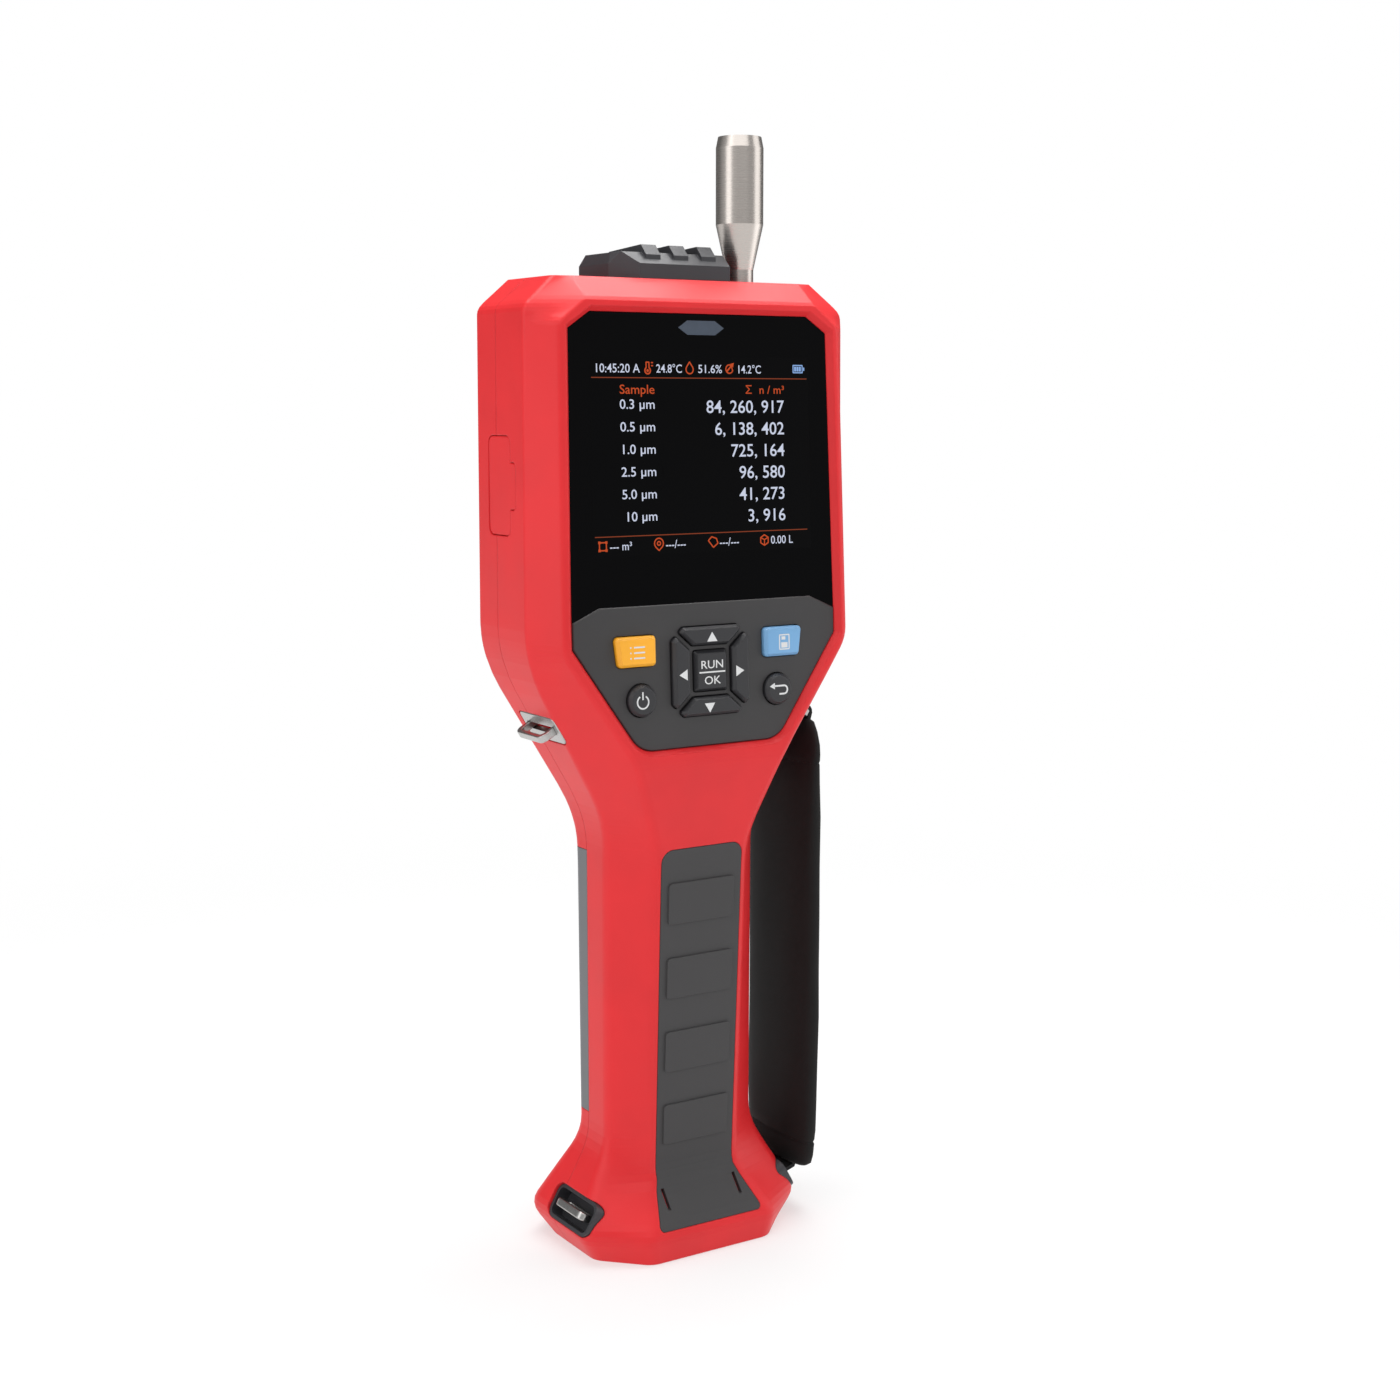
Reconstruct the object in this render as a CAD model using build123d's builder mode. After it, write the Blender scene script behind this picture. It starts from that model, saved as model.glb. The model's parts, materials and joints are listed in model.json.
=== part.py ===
from build123d import *
from math import atan, cos, hypot, radians, sin, tan
import os

os.makedirs("parts", exist_ok=True)

# Hand-held airborne particle counter.  Millimetres, +Z up, the front faces -Y.
# The origin is on the standing face, in the plane where the two housings meet.

# ---------------------------------------------------------------- driving dimensions
WALL = 2.5                  # moulded wall of both housings
FIT = 0.15                  # gap round a piece that is let into another
SEAM = 0.05                 # half of the visible seam between the housings

# heights, each measured from the one before
FOOT_BAND = 8.5             # standing face up to the widest line of the base
FLARE_RISE = 22.0           # widest line up to the handle, at the sides
FRONT_FLARE_RISE = 12.5     # the same at the front
HANDLE_LENGTH = 86.5        # straight handle
NECK_RISE = 53.5            # handle up to the head
HEAD_RISE = 94.0            # head up to its shoulders
BROW_RISE = 8.0             # shoulders up to the flat top

# widths across X
FOOT_WIDTH = 63.0
BASE_WIDTH = 74.0
HANDLE_WIDTH = 49.0
NECK_WIDTH = 103.0          # head where the neck joins it
HEAD_WIDTH = 102.0          # head at its shoulders
TOP_WIDTH = 83.0            # flat top

# depths from the seam plane, forward and back
FOOT_FRONT, FOOT_REAR = 27.0, 20.0
BASE_FRONT, BASE_REAR = 28.5, 23.0
HANDLE_FRONT_LOW, HANDLE_FRONT_HIGH, HANDLE_REAR = 17.6, 22.2, 15.0
SIDE_FRONT, SIDE_REAR = 15.6, 11.0      # flat side walls of the head
HANDLE_SIDE_FRONT = 10.0    # the same on the handle, which has wide bevels beside its front
TOP_FRONT, TOP_REAR = 15.2, 13.0
HEAD_REAR = 20.0

# the leaning face with the screen and the keypad; heights along it are from the screen's middle
FACE_LEAN = 2.4             # degrees, top leans back
FACE_RISE = 108.5           # handle top up to the middle of the screen
FACE_DEPTH = 23.0           # seam plane forward to the middle of the screen
LIP = 1.8                   # the lip stands this far over the glass
LIP_SLOPE = 1.35            # width of the slope from the lip down to the glass
LIP_WIDTH = 2.0
GLASS_WIDTH_TOP, GLASS_WIDTH = 69.0, 82.0
GLASS_TOP, GLASS_SHOULDER = 37.6, 33.2
GLASS = 1.5                 # thickness of the cover glass
PANEL_TOP, PANEL_SHOULDER = -39.9, -43.5
PANEL_WIDTH_TOP, PANEL_WIDTH, PANEL_WIDTH_FOOT = 68.4, 84.8, 45.0
PANEL_HIP, PANEL_FOOT = -50.5, -79.3
PANEL_FOOT_RADIUS = 8.0
PANEL_PROUD = 0.4           # the keypad panel stands over the glass
LEDGE = 2.0                 # ledge behind the glass and the panel
LEDGE_RIM = 2.9             # what it leaves of them round its openings

# what stands behind the face
SCREEN_WIDTH, SCREEN_HEIGHT = 76.0, 63.0    # display module
SCREEN_DROP = 2.0           # its middle lies below the picture's middle
BOARD = 1.6                 # thickness of the circuit boards
LENS_LENGTH, LENS_EDGE, LENS_WIDTH, LENS_RISE = 14.6, 8.8, 3.8, 34.0

# keys: each has a flange that holds it under the panel
KEY_TRAVEL = 0.8
KEY_PROUD = 1.9             # key tops over the panel
KEY_SLOT = 0.25             # gap round a key
FLANGE = 0.7                # thickness and overhang of the flange
MAT = 0.6                   # silicone sheet under the keys
SIDE_KEY_IN, SIDE_KEY_OUT = 17.6, 30.3      # menu and save keys, from the middle line
SIDE_KEY_TOP, SIDE_KEY_FOOT, SIDE_KEY_TAPER = -47.9, -56.1, 1.0
ROUND_KEY, ROUND_KEY_X, ROUND_KEY_Z = 8.8, 22.1, -65.3
CROSS_Z = -58.6             # middle of the four arrow keys
CROSS_WIDTH, CROSS_HEIGHT = 24.8, 24.4
START_WIDTH, START_HEIGHT, START_SUNK = 10.6, 11.2, 0.5     # key in the middle of the cross
CROSS_CORNER = 3.6          # how far the corners of the cross are cut off
CROSS_GAP = 1.5             # groove between the keys of the cross
KEY_CORNER, SIDE_KEY_CORNER, KEY_TOP_CORNER = 0.6, 1.2, 0.25
KEY_SLOPE, KEY_SHOULDER = 0.8, 1.1          # a key's sides lean in by this, over this height
PANEL_EDGE = 0.3
BOARD_SCREW, BOARD_INSET = 1.6, 0.8         # the board is this much smaller than the face
BUZZER, BUZZER_HEIGHT = 12.0, 5.0

# rubber grip let into the front of the handle
GRIP_DEPTH = 2.0
GRIP_TOP, GRIP_WAIST, GRIP_FOOT = 26.4, 25.6, 34.6      # widths
PAD_FIRST = 9.6             # top of the grip down to its first raised pad
PAD_PROUD, PAD_WIDTH, PAD_HEIGHT, PAD_PITCH, PAD_COUNT = 0.5, 21.6, 11.8, 21.6, 4

SLIT_X, SLIT_RISE, SLIT, SLIT_HEIGHT = 12.0, 7.6, 1.0, 5.0      # two slits low in the grip

# battery cover: the whole back of the handle
COVER = 2.2
COVER_ABOVE_FLARE, COVER_BELOW_HANDLE = 7.5, 2.4
PACK_WIDTH, PACK_DEPTH, PACK_LENGTH = 38.0, 19.0, 62.0
PACK_RAISED = 3.5           # the battery pack stands this far above the cover's middle
COVER_SCREW_X, COVER_SCREW_RISE, COVER_SCREW_LENGTH = 9.0, 4.2, 6.0
COVER_HEAD = 1.2            # height of a cover screw's head
TONGUE_X, TONGUE_WIDTH, TONGUE, TONGUE_LENGTH = 9.0, 6.0, 1.0, 1.6
TUB = 1.5                   # walls round the battery pack
TUB_CORNER = 2.1            # bevel of its front corners, beside the handle's bevels

# strap lugs
UPPER_LUG_RISE = 34.5       # handle top up to the upper lugs
UPPER_LUG_Y, LOWER_LUG_Y = -4.0, -6.5
LOWER_LUG_RISE = 4.5        # widest line of the base up to the lower lugs
BEZEL_LENGTH, BEZEL_WIDTH, BEZEL = 19.6, 8.6, 1.6
CUP_LENGTH, CUP_WIDTH, CUP_DEPTH, CUP_WALL = 22.0, 10.0, 6.0, 1.0
LOOP_LENGTH, LOOP_HEIGHT, LOOP_BAR, LOOP_WIDTH = 15.0, 9.0, 1.5, 2.2
LOOP_PROUD = 4.8            # of the upper loops, over the wall
CUP_SUNK = 0.9              # the cup's rim lies under the wall's surface
CUP_LOOP_PROUD = 1.0

# hand strap on the right
STRAP_X, STRAP_Y = 41.2, -5.5
PAD_SLEEVE_WIDTH, PAD_SLEEVE_DEPTH = 28.0, 7.0
SLEEVE_LOW, SLEEVE_LENGTH = 13.5, 124.0
SLEEVE_LEAN = 0.8           # the sleeve's lower end leans in
SLEEVE_TAB, SLEEVE_TAB_WIDTH = 8.0, 14.0    # stitched end over the sleeve
WEB_WIDTH, WEB, WRAP_END = 11.0, 1.2, -20.0

# air inlet
PROBE_X, PROBE_Y = 23.0, -5.5
PROBE_DIAMETER, PROBE_MOUTH = 13.3, 11.5
PROBE_RIM, PROBE_RIM_HEIGHT = 12.1, 3.0
PROBE_BARREL, PROBE_CONE = 20.9, 13.2       # lengths
NIPPLE_DIAMETER, NIPPLE_PROUD, NIPPLE_BORE = 7.8, 3.0, 3.2
NIPPLE_FLANGE = 2.0
SPIGOT, SPIGOT_LENGTH, BARB = 5.0, 4.0, 8.0
TUBE, TUBE_LENGTH = 7.0, 12.0               # silicone sample tube

# sensor guard on the top
GUARD_LEFT, GUARD_RIGHT, GUARD_FRONT, GUARD_BACK = -21.0, 12.8, -14.4, 8.0
GUARD_CORNER = 5.3
GUARD_WALL, GUARD_HEIGHT, GUARD_BEVEL = 3.5, 6.4, 2.3
GUARD_BEVEL_HEIGHT, GUARD_ROOF = 3.0, 2.0
FIN, FIN_PITCH, FIN_HEIGHT, FIN_FIRST, FIN_COUNT = 4.6, 9.2, 8.5, -12.9, 3
FIN_BACK, FIN_FACE, FIN_LENGTH, AIR_SLOT = 0.9, 1.1, 18.0, 3.0
HUMID_LENGTH, HUMID_WIDTH = 18.0, 12.0      # humidity and temperature sensor's board

# USB cover in the left side
USB_LENGTH, USB_WIDTH, USB_THICK = 26.4, 12.4, 1.5
USB_Y, USB_RISE = -1.6, -7.9                # middle; the height is from the screen's middle
TAB_LENGTH, TAB_WIDTH = 12.4, 3.0
PORT_LENGTH, PORT_WIDTH = 9.0, 3.2          # USB-C mouth
PORT_DEPTH = 7.4
PORT_BOARD_DEPTH, PORT_BOARD_HEIGHT = 14.0, 22.0
USB_BOSS = 1.5              # what the cover's plug and the wall behind it add
USB_OPENING = 4.0           # the opening in the wall is this much larger than the port
USB_SWING = 0.8             # room beside the plug for its swing

# inside the head
SENSOR_WIDTH, SENSOR_DEPTH, SENSOR_HEIGHT = 36.0, 20.0, 34.0     # optical sensor block
SENSOR_X = 20.0
LASER_DIAMETER, LASER_LENGTH = 12.0, 22.0
PUMP_DIAMETER, PUMP_LENGTH, PUMP_X = 20.0, 36.0, 26.0
FILTER_DIAMETER, FILTER_LENGTH, FILTER_X = 16.0, 34.0, -24.0
PUMP_DROP = 24.0            # pump axis below the sensor block
RIB = 2.0                   # ribs that cradle the pump and the filter
CLEAR = 0.3                 # rubber or air round what a rib cradles

SCREW, SCREW_HEAD, SCREW_HEAD_HEIGHT, SCREW_LENGTH = 2.9, 5.4, 1.8, 14.0
BOSS = 7.0
VENT, VENT_LENGTH, VENT_PITCH, VENT_COUNT = 1.8, 16.0, 4.0, 6
INSERT_BORE, INSERT_DIAMETER, INSERT_LENGTH, INSERT_RISE = 5.1, 8.0, 8.0, 20.0

# ---------------------------------------------------------------- outline of the housings
Z_WIDE = FOOT_BAND
Z_FLARE = Z_WIDE + FLARE_RISE
Z_FRONT_FLARE = Z_WIDE + FRONT_FLARE_RISE
Z_HANDLE = Z_FLARE + HANDLE_LENGTH
Z_NECK = Z_HANDLE + NECK_RISE
Z_SHOULDER = Z_NECK + HEAD_RISE
Z_TOP = Z_SHOULDER + BROW_RISE
Z_FACE = Z_HANDLE + FACE_RISE
LIP_OUT = LIP_SLOPE + LIP_WIDTH     # edge of the glass out to the bevel
Z_BROW = Z_FACE + GLASS_TOP + LIP_OUT
Z_PANEL_FOOT = Z_FACE + PANEL_FOOT - LIP_OUT
Z_PANEL_HIP = Z_FACE + PANEL_HIP - LIP_OUT / 2
NECK_START = Z_HANDLE + 7.0         # the side walls turn out a little above the front


def lip_front(z):
    """Y of the lip round the screen at height z."""
    lean = radians(FACE_LEAN)
    return -FACE_DEPTH + (z - Z_FACE) * tan(lean) - LIP / cos(lean)


def profile(*knots):
    """A run of straight lines through (z, value, reach), bent softly over each reach."""

    def value(z):
        pairs = list(zip(knots, knots[1:]))
        low, high = next((p for p in pairs if z <= p[1][0]), pairs[-1])
        slopes = [(b[1] - a[1]) / (b[0] - a[0]) for a, b in pairs]
        result = low[1] + (z - low[0]) * (high[1] - low[1]) / (high[0] - low[0])
        for (level, _, reach), before, after in zip(knots[1:-1], slopes, slopes[1:]):
            if abs(z - level) < reach:
                result += (after - before) * (reach - abs(z - level)) ** 2 / (4 * reach)
        return result

    value.knots = knots
    return value


grip_half = HANDLE_WIDTH / 2
lip_half = PANEL_WIDTH / 2 + LIP_OUT
side_half = profile(
    (0, FOOT_WIDTH / 2, 0), (Z_WIDE, BASE_WIDTH / 2, 3), (Z_FLARE, grip_half, 5),
    (NECK_START, grip_half, 9), (Z_NECK, NECK_WIDTH / 2, 10),
    (Z_SHOULDER, HEAD_WIDTH / 2, 1.5), (Z_TOP, TOP_WIDTH / 2, 0))
front_half = profile(
    (0, 19.5, 0), (Z_WIDE, 20.5, 3), (Z_FRONT_FLARE, 14, 5), (Z_HANDLE, 14.5, 7),
    (Z_PANEL_FOOT, PANEL_WIDTH_FOOT / 2 + LIP_OUT / 2, 5), (Z_PANEL_HIP, lip_half, 3),
    (Z_FACE + GLASS_SHOULDER + LIP_OUT / 2, GLASS_WIDTH / 2 + LIP_OUT, 1),
    (Z_BROW, GLASS_WIDTH_TOP / 2 + LIP_OUT / 2, 0.6), (Z_TOP, GLASS_WIDTH_TOP / 2 + LIP_OUT / 2, 0))
front = profile(
    (0, -FOOT_FRONT, 0), (Z_WIDE, -BASE_FRONT, 3), (Z_FRONT_FLARE, -HANDLE_FRONT_LOW, 4),
    (Z_HANDLE, -HANDLE_FRONT_HIGH, 7), (Z_PANEL_FOOT, lip_front(Z_PANEL_FOOT), 3),
    (Z_BROW, lip_front(Z_BROW), 0.6), (Z_TOP, -TOP_FRONT, 0))
front_bend = profile(
    (0, -15, 0), (Z_WIDE, -17, 3), (Z_FLARE, -HANDLE_SIDE_FRONT, 5), (Z_HANDLE, -HANDLE_SIDE_FRONT, 7),
    (Z_NECK, -SIDE_FRONT, 9), (Z_SHOULDER, -SIDE_FRONT, 1), (Z_TOP, 1 - TOP_FRONT, 0))
rear_bend = profile(
    (0, 10, 0), (Z_WIDE, 15, 3), (Z_FLARE, 5, 5), (Z_HANDLE, 6, 9), (Z_NECK, SIDE_REAR, 9),
    (Z_SHOULDER, SIDE_REAR, 1), (Z_TOP, TOP_REAR - 1, 0))
rear = profile(
    (0, FOOT_REAR, 0), (Z_WIDE, BASE_REAR, 3), (Z_FLARE, HANDLE_REAR, 5), (Z_HANDLE, HANDLE_REAR, 9),
    (Z_NECK, HEAD_REAR, 9), (Z_SHOULDER, HEAD_REAR, 1.5), (Z_TOP, TOP_REAR, 0))
rear_half = profile(
    (0, 20, 0), (Z_WIDE, 23, 3), (Z_FLARE, 15, 5), (Z_HANDLE, 15, 9), (Z_NECK, 43, 9),
    (Z_SHOULDER, 43, 1.5), (Z_TOP, 35, 0))
corner = profile(
    (0, 6, 0), (Z_WIDE, 6, 0), (Z_FLARE, 4, 0), (Z_HANDLE, 4, 0), (Z_NECK, 2, 0), (Z_TOP, 2, 0))
shape = (side_half, front_half, front, front_bend, rear_bend, rear, rear_half)


def levels(steps, apart):
    """Heights at which the outline is sampled: every knot, and steps on each side of a bend."""
    found = set()
    for line in shape:
        for z, _, reach in line.knots:
            found.update(z + reach * k / steps for k in range(-steps, steps + 1))
    kept = []
    for z in sorted(found):
        if 0 <= z <= Z_TOP and (not kept or z - kept[-1] >= apart):
            kept.append(z)
    kept[-1] = Z_TOP
    return kept


def section(z, inset, rounded):
    """Closed outline of the housing at height z, moved inwards by inset."""
    right = [
        (front_half(z), front(z)), (side_half(z), front_bend(z)),
        (side_half(z), rear_bend(z)), (rear_half(z), rear(z))]
    with BuildSketch(Plane.XY.offset(z)) as outline:
        with BuildLine():
            Polyline(*right, *[(-x, y) for x, y in reversed(right)], close=True)
        make_face()
        if inset:
            offset(amount=-inset, kind=Kind.INTERSECTION)
        if rounded:
            fillet(outline.vertices(), max(corner(z) - inset, 0.5))
    return outline.sketch


def hull(inset=0.0, low=0.0, high=Z_TOP, rounded=True, steps=2, apart=1.0):
    """The outer form of the instrument between two heights, moved inwards by inset."""
    inside = [z for z in levels(steps, apart) if low + 0.2 < z < high - 0.2]
    return loft([section(z, inset, rounded) for z in [low, *inside, high]], ruled=True)


# ---------------------------------------------------------------- the leaning face
lean = radians(FACE_LEAN)
face = Plane(origin=(0, -FACE_DEPTH, Z_FACE), x_dir=(1, 0, 0), z_dir=(0, -cos(lean), sin(lean)))
FLOOR = -GLASS              # where glass and panel rest on the ledge
PANEL_UNDER = FLOOR
KEY_TOP = PANEL_PROUD + KEY_PROUD
FLANGE_TOP = PANEL_UNDER - 0.1
KEY_FOOT = FLANGE_TOP - FLANGE
MAT_TOP = KEY_FOOT - KEY_TRAVEL - 0.1
BOARD_TOP = MAT_TOP - MAT
SCREEN_BACK = BOARD_TOP

glass_top = [(GLASS_WIDTH_TOP / 2, GLASS_TOP), (GLASS_WIDTH / 2, GLASS_SHOULDER)]
panel_low = [
    (PANEL_WIDTH / 2, PANEL_SHOULDER), (PANEL_WIDTH / 2, PANEL_HIP), (PANEL_WIDTH_FOOT / 2, PANEL_FOOT)]
recess_points = glass_top + panel_low
glass_points = glass_top + [
    (PANEL_WIDTH / 2, PANEL_SHOULDER), (PANEL_WIDTH_TOP / 2, PANEL_TOP)]
panel_points = [(PANEL_WIDTH_TOP / 2, PANEL_TOP)] + panel_low


def on_face(height, points, grow=0.0, foot=0.0):
    """Outline mirrored about the middle line, on a plane parallel to the face."""
    with BuildSketch(face.offset(height)) as outline:
        with BuildLine():
            Polyline(*points, *[(-x, y) for x, y in reversed(points)], close=True)
        make_face()
        if foot:
            fillet(outline.vertices().sort_by(Axis.Y)[:2], foot)
        if grow:
            offset(amount=grow, kind=Kind.INTERSECTION)
    return outline.sketch


def rectangle_on(plane, width, height, radius, at=(0, 0)):
    """Rounded rectangle sketched on a plane."""
    with BuildSketch(plane) as outline:
        with Locations(at):
            RectangleRounded(width, height, radius)
    return outline.sketch


def screen_outline(height, grow):
    """The display module's outline at a height over the glass."""
    return rectangle_on(
        face.offset(height), SCREEN_WIDTH + 2 * grow, SCREEN_HEIGHT + 2 * grow, 1, (0, -SCREEN_DROP))


def lens_outline(height, grow):
    """Long hexagon of the status light."""
    points = [(LENS_EDGE / 2, LENS_RISE + LENS_WIDTH / 2), (LENS_LENGTH / 2, LENS_RISE),
              (LENS_EDGE / 2, LENS_RISE - LENS_WIDTH / 2)]
    return on_face(height, points, grow)


def key_window(height):
    """Opening of the ledge behind the keypad panel."""
    return on_face(height, [
        (PANEL_WIDTH_TOP / 2, PANEL_TOP - LEDGE_RIM / 2),
        (PANEL_WIDTH / 2 - LEDGE_RIM, PANEL_SHOULDER - 1),
        (PANEL_WIDTH / 2 - LEDGE_RIM, PANEL_HIP),
        (PANEL_WIDTH_FOOT / 2 - LEDGE_RIM / 2, PANEL_FOOT + LEDGE_RIM)], foot=PANEL_FOOT_RADIUS - LEDGE_RIM)


def mirrored(points):
    """The points and their images on the other side of the middle line."""
    return points + [(-x, y) for x, y in points]

# ---------------------------------------------------------------- planes for what is let into the walls
neck_angle = atan((NECK_WIDTH / 2 - grip_half) / (Z_NECK - NECK_START))
flare_angle = atan((BASE_WIDTH / 2 - grip_half) / FLARE_RISE)
z_upper_lug = Z_HANDLE + UPPER_LUG_RISE
z_lower_lug = Z_WIDE + LOWER_LUG_RISE
upper_lug = Plane(
    origin=(side_half(z_upper_lug), UPPER_LUG_Y, z_upper_lug),
    x_dir=(0, 1, 0), z_dir=(cos(neck_angle), 0, -sin(neck_angle)))
lower_lug = Plane(
    origin=(side_half(z_lower_lug), LOWER_LUG_Y, z_lower_lug),
    x_dir=(0, 1, 0), z_dir=(cos(flare_angle), 0, sin(flare_angle)))
z_usb = Z_FACE + USB_RISE
usb_wall = side_half(z_usb) - 0.1
usb = Plane(origin=(-usb_wall, USB_Y, z_usb), x_dir=(0, -1, 0), z_dir=(-1, 0, 0))

COVER_LOW = Z_FLARE + COVER_ABOVE_FLARE
COVER_HIGH = Z_HANDLE - COVER_BELOW_HANDLE
pack_middle = (COVER_LOW + COVER_HIGH) / 2 + PACK_RAISED
cover_screws_at = [(side * COVER_SCREW_X, COVER_LOW + COVER_SCREW_RISE) for side in (-1, 1)]
cover_screw_seat = HANDLE_REAR - COVER_HEAD
pack_rear = HANDLE_REAR - COVER - FIT - WALL - 0.6
pack_y = pack_rear - PACK_DEPTH / 2

screw_points = [
    (HEAD_WIDTH / 2 - 5.2, Z_SHOULDER - 6.0), (NECK_WIDTH / 2 - 5.7, Z_NECK + 8.0),
    (grip_half + 1.0, Z_WIDE + 9.0)]
SCREW_SEAT = SIDE_REAR - 4.5        # Y on which the screw heads rest
lean_screws = [
    (GLASS_WIDTH_TOP / 2 + 1.5, SCREEN_HEIGHT / 2 - SCREEN_DROP + 4.0),
    (SCREEN_WIDTH / 2, 4.5 - SCREEN_DROP - SCREEN_HEIGHT / 2 - 9.0)]

# ---------------------------------------------------------------- grip and cover regions
grip_points = [
    (GRIP_TOP / 2, Z_HANDLE), (GRIP_WAIST / 2, Z_FRONT_FLARE), (GRIP_FOOT / 2, Z_WIDE + 0.6)]


def grip_prism(grow):
    """The grip's outline seen from the front, as a block through the front wall."""
    with BuildPart() as block:
        with BuildSketch(Plane.XZ) as outline:
            with BuildLine():
                Polyline(*grip_points, *[(-x, z) for x, z in reversed(grip_points)], close=True)
            make_face()
            fillet(outline.vertices().sort_by(Axis.Y)[-2:], 3.5)
            fillet(outline.vertices().sort_by(Axis.Y)[:2], 1.2)
            if grow:
                offset(amount=grow)
        extrude(amount=BASE_FRONT + 10)
    return block.part


def rear_block(low, high, front_y=0.0):
    """Everything behind front_y between two heights."""
    size = 200
    return Pos(0, front_y + size / 2, (low + high) / 2) * Box(size, size, high - low)


grip_low, grip_high = Z_WIDE - 1.0, Z_HANDLE + 1.0
grip_floor = hull(GRIP_DEPTH, grip_low - 1, grip_high + 1)
grip_back = hull(GRIP_DEPTH + WALL, grip_low - 3, grip_high + 4, rounded=False)
cover_floor = hull(COVER, COVER_LOW - 3, COVER_HIGH + 3)
tray_floor = hull(COVER + FIT, COVER_LOW - 3, COVER_HIGH + 3)
tray_back = hull(COVER + FIT + WALL - 0.5, COVER_LOW - 3, COVER_HIGH + 3, rounded=False)

# ---------------------------------------------------------------- space inside the housings
outer = hull()
cavity = hull(WALL, WALL, Z_TOP - WALL, rounded=False, steps=1, apart=2.5)

with BuildPart() as ledge:              # a ring that joins the front wall behind the lip
    extrude(on_face(0, recess_points, grow=2 * LIP_OUT), amount=FLOOR - LEDGE)
    extrude(screen_outline(0, FIT), amount=FLOOR - LEDGE, mode=Mode.SUBTRACT)
    extrude(key_window(0), amount=FLOOR - LEDGE, mode=Mode.SUBTRACT)

with BuildPart() as screw_columns:
    for x, z in mirrored(screw_points):
        with BuildSketch(Plane.XZ.offset(-HEAD_REAR)) as outline:
            with Locations((x, z)):
                Circle(BOSS / 2)
        extrude(amount=2 * HEAD_REAR + 5)

with BuildPart() as board_posts:
    for x, z in mirrored(lean_screws):
        with BuildSketch(face.offset(FLOOR - LEDGE)) as outline:
            with Locations((x, z)):
                Circle(BOARD_SCREW)
        extrude(amount=BOARD_TOP - FLOOR + LEDGE)

sensor_top = Z_TOP - WALL - NIPPLE_FLANGE - TUBE_LENGTH
sensor_y = PROBE_Y
sensor_back = sensor_y + SENSOR_DEPTH / 2
pump_z = sensor_top - SENSOR_HEIGHT - PUMP_DROP
pump_y = SIDE_REAR - PUMP_DIAMETER / 2 + 3
filter_z = pump_z + 6
rear_inside = HEAD_REAR - WALL
port_x = -usb_wall + USB_THICK + USB_BOSS + FIT + PORT_BOARD_DEPTH / 2
port_board_back = USB_Y + PORT_WIDTH / 2 + BOARD

with BuildPart() as cradles:            # posts and ribs on the inside of the rear housing
    for x in (SENSOR_X - SENSOR_WIDTH / 2 + 5, SENSOR_X + SENSOR_WIDTH / 2 - 5):
        for z in (sensor_top - 5, sensor_top - SENSOR_HEIGHT + 5):
            with Locations((x, (sensor_back + rear_inside + 1) / 2, z)):
                Box(6, rear_inside + 1 - sensor_back, 6)
    for step in (-1, 1):
        with Locations((PUMP_X + step * PUMP_LENGTH / 4, (pump_y + rear_inside + 1) / 2, pump_z)):
            Box(RIB, rear_inside + 1 - pump_y, PUMP_DIAMETER + 4)
        with Locations((FILTER_X, (pump_y + rear_inside + 1) / 2, filter_z + step * FILTER_LENGTH / 4)):
            Box(FILTER_DIAMETER + 4, rear_inside + 1 - pump_y, RIB)
    with Locations(Location((PUMP_X, pump_y, pump_z), (0, 90, 0))):
        Cylinder(PUMP_DIAMETER / 2 + CLEAR, PUMP_LENGTH, mode=Mode.SUBTRACT)
    with Locations((FILTER_X, pump_y, filter_z)):
        Cylinder(FILTER_DIAMETER / 2 + CLEAR, FILTER_LENGTH, mode=Mode.SUBTRACT)
    for step in (-1, 1):
        with Locations((port_x + PORT_BOARD_DEPTH / 4, (port_board_back + rear_inside + 1) / 2,
                        z_usb + step * (PORT_BOARD_HEIGHT / 2 - 2.5))):
            Box(5, rear_inside + 1 - port_board_back, 5)

with BuildPart() as lug_blocks:
    with BuildSketch(upper_lug) as outline:
        Rectangle(BEZEL_LENGTH + 3, BEZEL_WIDTH + 3)
    extrude(amount=-(LOOP_HEIGHT - LOOP_PROUD + 2))
    with BuildSketch(lower_lug) as outline:
        Rectangle(CUP_LENGTH + 3, CUP_WIDTH + 3)
    extrude(amount=-(CUP_DEPTH + 2))
    mirror(about=Plane.YZ)

with BuildPart() as usb_block:          # thicker wall round the port
    extrude(rectangle_on(usb, USB_WIDTH + 6, USB_LENGTH + 4, 2), amount=-(USB_THICK + USB_BOSS))

with BuildPart() as pack_tub:
    with Locations((0, pack_y, pack_middle)):
        Box(PACK_WIDTH + 2 * (FIT + TUB), PACK_DEPTH + 2 * (FIT + TUB), PACK_LENGTH + 2 * (FIT + TUB))
    chamfer(pack_tub.edges().filter_by(Axis.Z).group_by(Axis.Y)[0], TUB_CORNER)

with BuildPart() as pack_room:
    with Locations((0, pack_y + HANDLE_REAR, pack_middle)):
        Box(PACK_WIDTH + 2 * FIT, PACK_DEPTH + 2 * (FIT + HANDLE_REAR), PACK_LENGTH + 2 * FIT)

with BuildPart() as cover_bosses:
    with BuildSketch(Plane.XZ.offset(COVER + FIT - HANDLE_REAR)):
        with Locations(*cover_screws_at):
            Circle(SCREW)
    extrude(amount=COVER_SCREW_LENGTH)

with BuildPart() as insert_column:
    with BuildSketch(Plane.XZ.offset(-HEAD_REAR)) as outline:
        with Locations((0, Z_NECK + INSERT_RISE)):
            Circle(INSERT_DIAMETER / 2 + 2)
    extrude(amount=INSERT_LENGTH + 2)

grip_wall = grip_prism(2.0) - grip_back
tray_wall = rear_block(COVER_LOW - 2, COVER_HIGH + 2) - tray_back

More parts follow.
